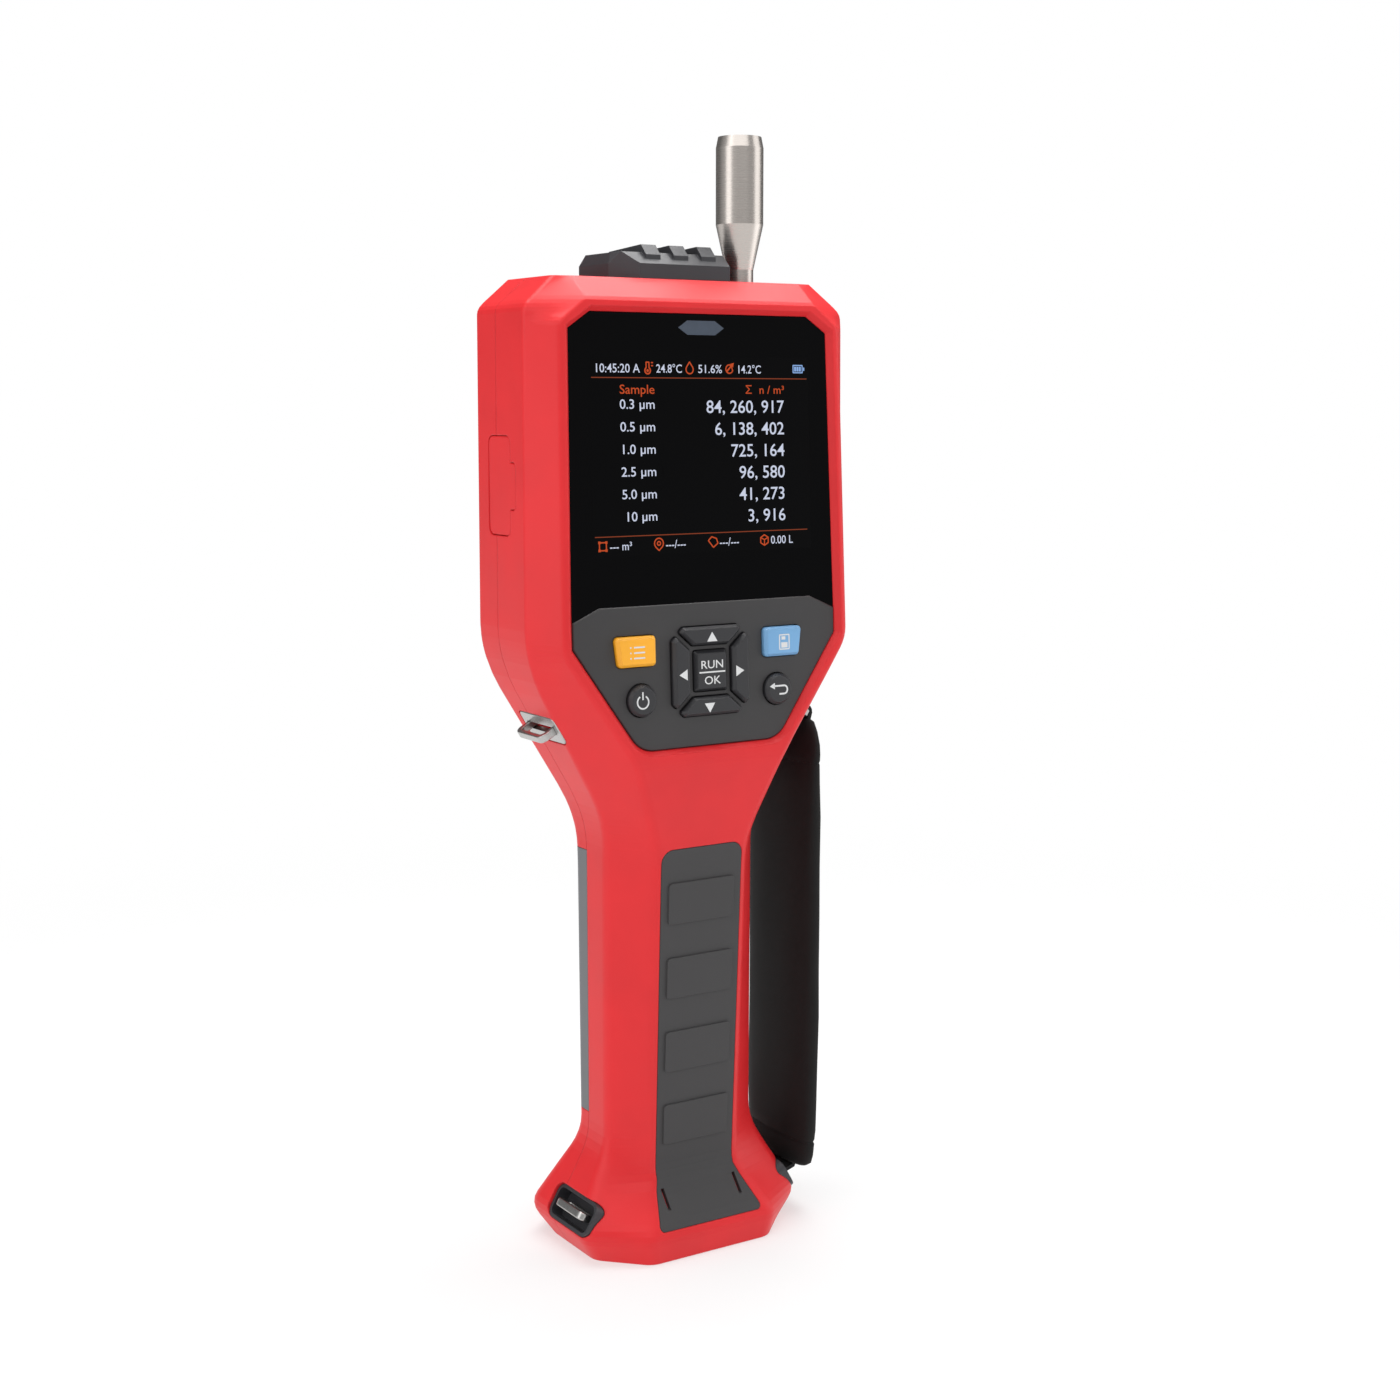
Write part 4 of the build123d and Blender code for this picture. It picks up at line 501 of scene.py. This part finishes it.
# %% Icons
lines = [rectangle(0, 20.6, 69.0, 0.25), rectangle(-0.4, -21.15, 68.6, 0.25)]
ink("picture_lines", lines, GLASS_TOP, pixel_rust, "housing")
THERMO_U, DROP_U, LEAF_U, PIN_U, BOX_U = -17.2, -4.0, 8.8, -15.0, 19.3
BULB_V, TOP_V, PIN_V = 22.5, 24.7, -23.4
LEFT_U, RIGHT_U, HIGH_V, LOW_V = -33.4, -31.3, -22.6, -24.7  # sides of the square of corners
symbols = (
    band(THERMO_U, BULB_V, 0.85, 0.4, 120, 420) + [arc(THERMO_U, BULB_V, 0.4, 0, 340, 12)]
    + stroke([(THERMO_U - 0.45, 23.2), (THERMO_U - 0.45, TOP_V), (THERMO_U + 0.45, TOP_V),
              (THERMO_U + 0.45, 23.2)], 0.35)
    + [rectangle(THERMO_U + 1.4, 24.6 - 0.8 * k, 0.6, 0.35) for k in range(2)]
    + outline(arc(DROP_U, 22.9, 1.15, 150, 390, 12) + [(DROP_U, 24.9)])
    + outline(arc(LEAF_U, HEAD_V, 1.15, 60, 340, 10))
    + stroke([(LEAF_U - 0.9, 22.4), (LEAF_U + 1.0, 24.3)], 0.45)
    + [[(LEAF_U + 1.5, 24.8), (LEAF_U + 0.3, 24.5), (LEAF_U + 1.2, 23.5)]]
    + outline([(LEFT_U, HIGH_V), (RIGHT_U, HIGH_V), (RIGHT_U, LOW_V), (LEFT_U, LOW_V)])
    + [rectangle(u, v, 0.7, 0.7) for u in (LEFT_U, RIGHT_U) for v in (HIGH_V, LOW_V)]
    + outline(arc(PIN_U, PIN_V, 1.4, -40, 220, 12) + [(PIN_U, -25.3)])
    + band(PIN_U, PIN_V, 0.5, 0.35, 0, 360)
    + outline([(0.8, -23.2), (1.9, -22.2), (3.4, -22.7), (3.9, -24.0), (2.4, -25.1)])
    + outline(arc(BOX_U, FOOT_V, 1.45, 30, 330, 5))
    + stroke([(BOX_U, -25.1), (BOX_U, -23.6)], 0.3)
    + stroke([(BOX_U - 1.2, -23.0), (BOX_U, -23.6), (BOX_U + 1.2, -23.0)], 0.3))
ink("picture_symbols", symbols, GLASS_TOP, pixel_orange, "housing")
battery = outline([(30.0, 22.3), (33.1, 22.3), (33.1, 24.3), (30.0, 24.3)], 0.3)
battery += [rectangle(33.6, 23.3, 0.4, 0.9)]
battery += [rectangle(30.7 + 0.8 * k, 23.3, 0.65, 1.3) for k in range(3)]
ink("picture_battery", battery, GLASS_TOP, pixel_blue, "housing")
print("icon shapes", len(symbols) + len(battery))

# %% [markdown]
# ## The hand strap
# A strip of webbing runs from the upper ring to the lower one and carries a padded neoprene sleeve. The
# CAD stand-ins for both are plain bars, so they are replaced. The webbing follows a line of points that
# wraps round both rings; its flat side is swept across, and a fine thickness makes its edges real.

# %% Webbing
WEB_WIDTH, WEB_THICK, WRAP = 11.0, 1.2, 2.0
STRAP_X, STRAP_Y = 41.2, -5.5
UPPER_BAR, LOWER_BAR = Vector((43.97, -4.0, 149.47)), Vector((34.63, -6.5, 13.14))
WAVE = 0.314  # a wave texture of scale 1 repeats after this length


def round_bar(bar, start, turn, steps=10):
    """Points round a bar that lies along Y; angles in degrees from +X towards +Z."""
    angles = [radians(start + turn * k / steps) for k in range(steps + 1)]
    return [bar + WRAP * Vector((cos(a), 0, sin(a))) for a in angles]


web_line = round_bar(UPPER_BAR, 200, -200)
web_line += [Vector(point) for point in (
    (STRAP_X, STRAP_Y, 137.5), (STRAP_X, STRAP_Y, 90.0), (STRAP_X, STRAP_Y, 33.5),
    (40.4, STRAP_Y, 13.5), (39.6, -6.0, 12.3))]
web_line += round_bar(LOWER_BAR, -60, -120)


def across_line(points, k):
    """The thickness direction of a strip at point k."""
    before, after = points[max(k - 1, 0)], points[min(k + 1, len(points) - 1)]
    along = (after - before).normalized()
    return along.cross(Vector((0, 1, 0))).normalized()


def mesh_piece(name, work, material, body, smooth=True):
    """Turns a bmesh in millimetres into a finished piece."""
    bmesh.ops.recalc_face_normals(work, faces=work.faces)
    mesh = bpy.data.meshes.new(name)
    work.to_mesh(mesh)
    work.free()
    mesh.transform(Matrix.Scale(MM, 4))
    for face in mesh.polygons:
        face.use_smooth = smooth
    mesh.materials.append(material)
    return new_piece(name, mesh, body)


def loft(work, rings):
    """Faces from ring to ring of corners, with a cap at each end."""
    for first, second in zip(rings, rings[1:]):
        for k in range(len(first)):
            after = (k + 1) % len(first)
            work.faces.new((first[k], first[after], second[after], second[k]))
    work.faces.new(rings[0])
    work.faces.new(rings[-1][::-1])


def woven(name, colour, pitch_mm, depth_mm, roughness):
    """Cloth: two crossed waves raise the threads, and a sheen gives the pale bloom of fibre."""
    material, tree, shader = new_material(
        name, colour, roughness, Sheen_Weight=0.04, Sheen_Roughness=0.5, Specular_IOR_Level=0.25)
    space = texture_space(tree)
    wave = {"Vector": space, "Scale": WAVE / (pitch_mm * MM), "Distortion": 0.6}
    warp = add_node(tree, "ShaderNodeTexWave", wave, bands_direction="Z").outputs["Fac"]
    weft = add_node(tree, "ShaderNodeTexWave", wave, bands_direction="Y").outputs["Fac"]
    threads = add_node(tree, "ShaderNodeMath", {0: warp, 1: weft}, operation="MULTIPLY")
    bump = add_node(tree, "ShaderNodeBump", {
        "Height": threads.outputs[0], "Distance": depth_mm * MM, "Strength": 0.7})
    fluff = noise(tree, space, 220.0, 4.0)
    dark, pale = ([share * c for c in linear(colour)[:3]] + [1.0] for share in (0.75, 1.3))
    feed(tree, shader, Base_Color=ramp(tree, fluff, dark, pale), Normal=bump.outputs[0])
    return material


web_cloth = woven("webbing_nylon_black", "121213", 0.9, 0.12, 0.7)
neoprene = woven("neoprene_jersey_black", "131212", 0.45, 0.03, 0.75)
thread = woven("thread_polyester_black", "101012", 0.3, 0.02, 0.6)

work = bmesh.new()
rings = []
side = Vector((0, WEB_WIDTH / 2, 0))
for k, point in enumerate(web_line):
    out = across_line(web_line, k) * WEB_THICK / 2
    corners = out - side, out + side, -out + side, -out - side
    rings.append([work.verts.new(point + corner) for corner in corners])
loft(work, rings)
webbing = mesh_piece("webbing", work, web_cloth, "housing", smooth=False)
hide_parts("strap_webbing")
print("webbing faces", len(webbing.data.polygons))

# %% [markdown]
# ## The sleeve
# Foam under a stretched knit has no straight lines: it swells between its hems and pinches in at each
# row of stitches. The sleeve is lofted from rounded sections whose girth follows that rhythm.

# %% Padded sleeve
SLEEVE = [  # height, middle in X, width along Y before FULLNESS, depth along X
    (147.6, 44.6, 13.0, 2.6), (147.0, 44.5, 16.0, 3.6), (144.4, 43.6, 21.0, 4.2), (141.0, 42.5, 25.4, 5.2),
    (138.4, 41.8, 27.2, 5.9), (136.6, 41.4, 27.8, 6.2), (136.0, 41.3, 27.4, 5.7), (135.4, 41.3, 27.8, 6.2),
    (130.0, 41.2, 28.2, 7.0), (120.0, 41.2, 28.4, 7.3), (105.0, 41.2, 28.3, 7.3), (90.0, 41.2, 28.4, 7.4),
    (75.0, 41.2, 28.2, 7.3), (60.0, 41.2, 28.3, 7.4), (45.0, 41.1, 28.2, 7.3), (32.0, 40.8, 28.0, 7.2),
    (25.0, 40.6, 27.7, 7.0), (22.0, 40.5, 27.3, 6.4), (21.3, 40.5, 26.6, 5.6), (20.6, 40.5, 27.2, 6.4),
    (17.0, 40.4, 26.6, 6.8), (14.6, 40.4, 25.2, 6.4), (13.6, 40.4, 22.6, 5.2), (13.5, 40.4, 19.0, 3.2)]
AROUND = 72
SLEEVE_Y = STRAP_Y + 2.3  # the foam stands out further behind the webbing than in front
FULLNESS = 1.18
OVAL_POWER = 2.6
HEMS = (136.0, 21.3)


def oval(turn):
    """How far a superellipse reaches in X and Y: a flat oval with full corners."""
    return [abs(part) ** (2 / OVAL_POWER) * (1 if part > 0 else -1) for part in (cos(turn), sin(turn))]


work = bmesh.new()
rings = []
for height, middle, width, depth in SLEEVE:
    sag = 1.0 if 20 < height < 134 else 0.2
    ring = []
    for k in range(AROUND):
        turn = tau * k / AROUND
        reach_x, reach_y = oval(turn)
        ripple = 0.10 * sin(3 * turn + 0.21 * height) + 0.07 * sin(7 * turn - 0.13 * height)
        ring.append(work.verts.new((
            middle + (depth / 2 + ripple * sag) * reach_x,
            SLEEVE_Y + (FULLNESS * width / 2 + ripple * sag) * reach_y, height)))
    rings.append(ring)
loft(work, rings)
sleeve = mesh_piece("sleeve", work, neoprene, "housing")
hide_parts("strap_sleeve")
print("sleeve faces", len(sleeve.data.polygons))

# %% [markdown]
# ## The sensor guard
# The guard is one moulding: a hollow cap with a wide sloped front, and three wedge-shaped fins that stop a
# falling drop from reaching the air slots between them. Each solid is the hull of a few corners, and
# Boolean modifiers cut the hollow and the slots.

# %% Sensor guard
def hull(corners):
    """The closed solid round a few corners, in millimetres, as a bmesh."""
    solid = bmesh.new()
    for corner in corners:
        solid.verts.new(corner)
    bmesh.ops.convex_hull(solid, input=solid.verts[:])
    bmesh.ops.dissolve_limit(solid, angle_limit=radians(1), verts=solid.verts[:], edges=solid.edges[:])
    return solid


def block(x0, x1, y0, y1, z0, z1):
    """Corners of a box."""
    return [(x, y, z) for x in (x0, x1) for y in (y0, y1) for z in (z0, z1)]


def cut_out(solid, cutters):
    """The solid without its cutters, all of them bmeshes in millimetres, as a new bmesh."""
    parts = []
    for piece in [solid] + cutters:
        mesh = bpy.data.meshes.new("guard_part")
        bmesh.ops.recalc_face_normals(piece, faces=piece.faces)
        piece.to_mesh(mesh)
        piece.free()
        parts.append(bpy.data.objects.new("guard_part", mesh))
        scene.collection.objects.link(parts[-1])
    for cutter in parts[1:]:
        cut = parts[0].modifiers.new("Cut", "BOOLEAN")
        cut.operation, cut.solver, cut.object = "DIFFERENCE", "EXACT", cutter
    left = bmesh.new()
    left.from_mesh(finished_mesh(parts[0]))
    for part in parts[1:]:
        bpy.data.objects.remove(part)
    return left


GUARD_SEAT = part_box("sensor_guard")[0][2] / MM
GUARD_LEFT, GUARD_RIGHT, GUARD_FRONT, GUARD_BACK, GUARD_WALL = -21.0, 14.0, -14.4, 8.0, 2.0
SLOPE_LOW, ROOF = GUARD_SEAT + 4.0, GUARD_SEAT + 7.2
CHAMFER_X, CHAMFER_Y = -14.8, -8.2
ROOF_LEFT, ROOF_FRONT, ROOF_BACK = GUARD_LEFT + 1, -10.6, GUARD_BACK - 2
FIN_FIRST, FIN_PITCH, FIN_WIDTH, SLOT_WIDTH = -9.75, 8.85, 4.6, 3.0
foot = [(CHAMFER_X, GUARD_FRONT), (GUARD_RIGHT, GUARD_FRONT), (GUARD_RIGHT, GUARD_BACK),
        (GUARD_LEFT, GUARD_BACK), (GUARD_LEFT, CHAMFER_Y)]
cap = [(x, y, z) for z in (GUARD_SEAT, SLOPE_LOW) for x, y in foot]
cap += [(-18.5, ROOF_FRONT, ROOF), (GUARD_RIGHT, ROOF_FRONT, ROOF), (GUARD_RIGHT, ROOF_BACK, ROOF),
        (ROOF_LEFT, ROOF_BACK, ROOF - 0.2), (ROOF_LEFT, -7.4, ROOF - 0.2)]
hollow = block(GUARD_LEFT + 2.5, GUARD_RIGHT - GUARD_WALL, ROOF_FRONT + 1, GUARD_BACK - 2.5,
               GUARD_SEAT - 1, ROOF - GUARD_WALL)
slots = [block(middle - SLOT_WIDTH / 2, middle + SLOT_WIDTH / 2, -6.0, 5.0, ROOF - 3, ROOF + 3)
         for middle in (FIN_FIRST + FIN_PITCH * (k + 0.5) for k in range(2))]
guard = cut_out(hull(cap), [hull(hollow)] + [hull(slot) for slot in slots])
FIN_SIDE = [  # depth, height over the seat
    (GUARD_FRONT + 1.5, 5.0), (GUARD_FRONT + 1.5, 6.5), (GUARD_FRONT + 4.2, 9.3),
    (GUARD_BACK - 1, 8.3), (GUARD_BACK - 1, 6.2)]
for k in range(3):
    middle = FIN_FIRST + FIN_PITCH * k
    fin = hull([(middle + side * FIN_WIDTH / 2, y, GUARD_SEAT + z)
                for side in (-1, 1) for y, z in FIN_SIDE])
    fin_mesh = bpy.data.meshes.new("fin")
    fin.to_mesh(fin_mesh)
    fin.free()
    guard.from_mesh(fin_mesh)
    bpy.data.meshes.remove(fin_mesh)
cover = mesh_piece("guard_cover", guard, finishes["dark_abs"], "housing", smooth=False)
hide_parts("sensor_guard")
print("guard faces", len(cover.data.polygons))

# %% [markdown]
# ## Stitches with Geometry Nodes
# A sewing machine repeats one stitch, so one stitch is instanced along each seam. The seam is a loop of
# points round the sleeve; the node tree resamples it at the stitch pitch, lays a short rounded thread at
# each point and turns it along the seam. The result becomes a plain mesh at the end.

# %% Stitches
def stitch_tree():
    """Geometry Nodes that sew stitches along a mesh line."""
    tree = bpy.data.node_groups.new("Sew along a line", "GeometryNodeTree")
    tree.interface.new_socket("Geometry", in_out="INPUT", socket_type="NodeSocketGeometry")
    sizes = (("Pitch", 2.2 * MM), ("Thread radius", 0.22 * MM), ("Stitch length", 1.6 * MM))
    for name, value in sizes:
        socket = tree.interface.new_socket(name, in_out="INPUT", socket_type="NodeSocketFloat")
        socket.default_value = value
    tree.interface.new_socket("Material", in_out="INPUT", socket_type="NodeSocketMaterial")
    tree.interface.new_socket("Geometry", in_out="OUTPUT", socket_type="NodeSocketGeometry")
    given = tree.nodes.new("NodeGroupInput").outputs
    line = add_node(tree, "GeometryNodeMeshToCurve", {"Mesh": given["Geometry"]})
    even = add_node(tree, "GeometryNodeResampleCurve", {
        "Curve": line.outputs[0], "Length": given["Pitch"]}, mode="LENGTH")
    spots = add_node(tree, "GeometryNodeCurveToPoints", {"Curve": even.outputs[0]}, mode="EVALUATED")
    bead = add_node(tree, "GeometryNodeMeshUVSphere", {"Segments": 8, "Rings": 6, "Radius": 0.5})
    size = add_node(tree, "ShaderNodeCombineXYZ", {
        "X": given["Thread radius"], "Y": given["Thread radius"], "Z": given["Stitch length"]})
    placed = add_node(tree, "GeometryNodeInstanceOnPoints", {
        "Points": spots.outputs["Points"], "Instance": bead.outputs["Mesh"],
        "Rotation": spots.outputs["Rotation"], "Scale": size.outputs[0]})
    real = add_node(tree, "GeometryNodeRealizeInstances", {"Geometry": placed.outputs[0]})
    dyed = add_node(tree, "GeometryNodeSetMaterial", {
        "Geometry": real.outputs[0], "Material": given["Material"]})
    result = tree.nodes.new("NodeGroupOutput")
    tree.links.new(dyed.outputs[0], result.inputs["Geometry"])
    return tree


sew_tree = stitch_tree()


def sewn(name, loops, material, body):
    """A piece made of stitches along closed loops of millimetre points."""
    mesh = bpy.data.meshes.new(name + "_line")
    points, edges = [], []
    for loop in loops:
        start = len(points)
        points += [tuple(point) for point in loop]
        edges += [(start + k, start + (k + 1) % len(loop)) for k in range(len(loop))]
    mesh.from_pydata(points, edges, [])
    mesh.transform(Matrix.Scale(MM, 4))
    source = bpy.data.objects.new(name + "_line", mesh)
    scene.collection.objects.link(source)
    modifier = source.modifiers.new("Sew", "NODES")
    modifier.node_group = sew_tree
    for socket in sew_tree.interface.items_tree:
        if getattr(socket, "in_out", "") == "INPUT" and socket.name == "Material":
            modifier[socket.identifier] = material
    finished = finished_mesh(source)
    for face in finished.polygons:
        face.use_smooth = True
    return new_piece(name, finished, body)


def sleeve_loop(height, out=0.05):
    """Points round the sleeve at a height, just over its surface."""
    above = [row for row in SLEEVE if row[0] >= height][-1]
    below = [row for row in SLEEVE if row[0] <= height][0]
    share = 0 if above == below else (above[0] - height) / (above[0] - below[0])
    _, middle, width, depth = [a + (b - a) * share for a, b in zip(above, below)]
    loop = []
    for k in range(AROUND):
        reach_x, reach_y = oval(tau * k / AROUND)
        loop.append((middle + (depth / 2 + out) * reach_x,
                     SLEEVE_Y + (FULLNESS * width / 2 + out) * reach_y, height))
    return loop


hem_loops = [sleeve_loop(height) for height in HEMS]
stitches = sewn("sleeve_stitches", hem_loops, thread, "housing")
print("stitch faces", len(stitches.data.polygons))

# %% [markdown]
# ## Light, floor and camera
# A product on white is lit by big soft boxes: a wide one high in front on the left for the shape of
# the bevels, one on each side, one overhead, and a small one that lifts the head. The room fills the
# shadows, and it is darker in the direction of the view, which gives metal its dark edges. The floor
# is a pale disc that fades into the white ground, so that its edge never shows.

# %% Light, floor and camera
world = bpy.data.worlds.new("studio")
scene.world = world
world.use_nodes = True
studio = world.node_tree
studio.nodes.clear()
path = add_node(studio, "ShaderNodeLightPath")
white = linear("FFFFFF")
seen = add_node(studio, "ShaderNodeBackground", {"Color": white, "Strength": 1.0})
AHEAD = (0.53, 0.84, 0.0)  # the level direction of the view
ROOM_NEAR, ROOM_FAR = 0.44, 0.16
heading = add_node(studio, "ShaderNodeTexCoord")
behind = add_node(studio, "ShaderNodeVectorMath", {0: heading.outputs["Generated"], 1: AHEAD},
                  operation="DOT_PRODUCT")
dimmed = remap(studio, behind.outputs["Value"], ROOM_NEAR, ROOM_FAR, -0.1, 0.5,
               interpolation_type="SMOOTHSTEP")
fill = add_node(studio, "ShaderNodeBackground", {"Color": white, "Strength": dimmed})
choice = add_node(studio, "ShaderNodeMixShader", {
    0: path.outputs["Is Camera Ray"], 1: fill.outputs[0], 2: seen.outputs[0]})
surface = add_node(studio, "ShaderNodeOutputWorld")
studio.links.new(choice.outputs[0], surface.inputs["Surface"])


def soft_box(name, place, aim, width, height, power):
    """A rectangular area light at place, turned towards aim."""
    light = bpy.data.lights.new(name, "AREA")
    light.shape = "RECTANGLE"
    light.size, light.size_y, light.energy = width, height, power
    lamp = bpy.data.objects.new(name, light)
    scene.collection.objects.link(lamp)
    lamp.location = place
    lamp.rotation_euler = (Vector(aim) - Vector(place)).to_track_quat("-Z", "Y").to_euler()
    return lamp


MIDDLE = (0, 0, 0.16)
boxes = (  # name, place, aim, width, height, power
    ("key_light", (-0.55, -0.75, 0.9), MIDDLE, 2.0, 0.6, 5.0),
    ("right_box", (0.98, -0.46, 0.4), MIDDLE, 0.75, 1.0, 3.0),
    ("top_light", (0.0, 0.15, 1.1), MIDDLE, 0.8, 0.6, 7.5),
    ("left_box", (-1.0, -0.05, 0.35), MIDDLE, 0.5, 1.0, 2.2),
    ("head_light", (0.18, 0.02, 0.62), (0, -0.02, 0.27), 0.3, 0.25, 1.1))
for box in boxes:
    soft_box(*box)

ground, ground_tree, ground_shader = new_material("paper_white", "F7F7F7", 0.9)
spread = add_node(ground_tree, "ShaderNodeTexCoord")
reach = add_node(ground_tree, "ShaderNodeVectorMath", {0: spread.outputs["Object"]}, operation="LENGTH")
fade = remap(ground_tree, reach.outputs["Value"], 0.55, 1.0, 0.12, 0.6,
             interpolation_type="SMOOTHSTEP")
glow = add_node(ground_tree, "ShaderNodeEmission", {"Color": white, "Strength": 1.0})
blend = add_node(ground_tree, "ShaderNodeMixShader", {
    0: fade, 1: ground_shader.outputs[0], 2: glow.outputs[0]})
ground_tree.links.new(blend.outputs[0], ground_tree.nodes["Material Output"].inputs["Surface"])
bpy.ops.mesh.primitive_circle_add(vertices=96, radius=3.0, fill_type="NGON", location=(0, 0, -0.0002))
floor = bpy.context.object
floor.name = "floor"
floor.data.materials.append(ground)

camera_data = bpy.data.cameras.new("camera")
camera_data.lens, camera_data.sensor_width = 52.51, 36.0
camera = bpy.data.objects.new("camera", camera_data)
scene.collection.objects.link(camera)
camera.location = (-0.3012, -0.4925, 0.2394)
camera.rotation_euler = (radians(81.73), 0, radians(-32.57))
scene.camera = camera
scene.view_settings.view_transform = "Standard"
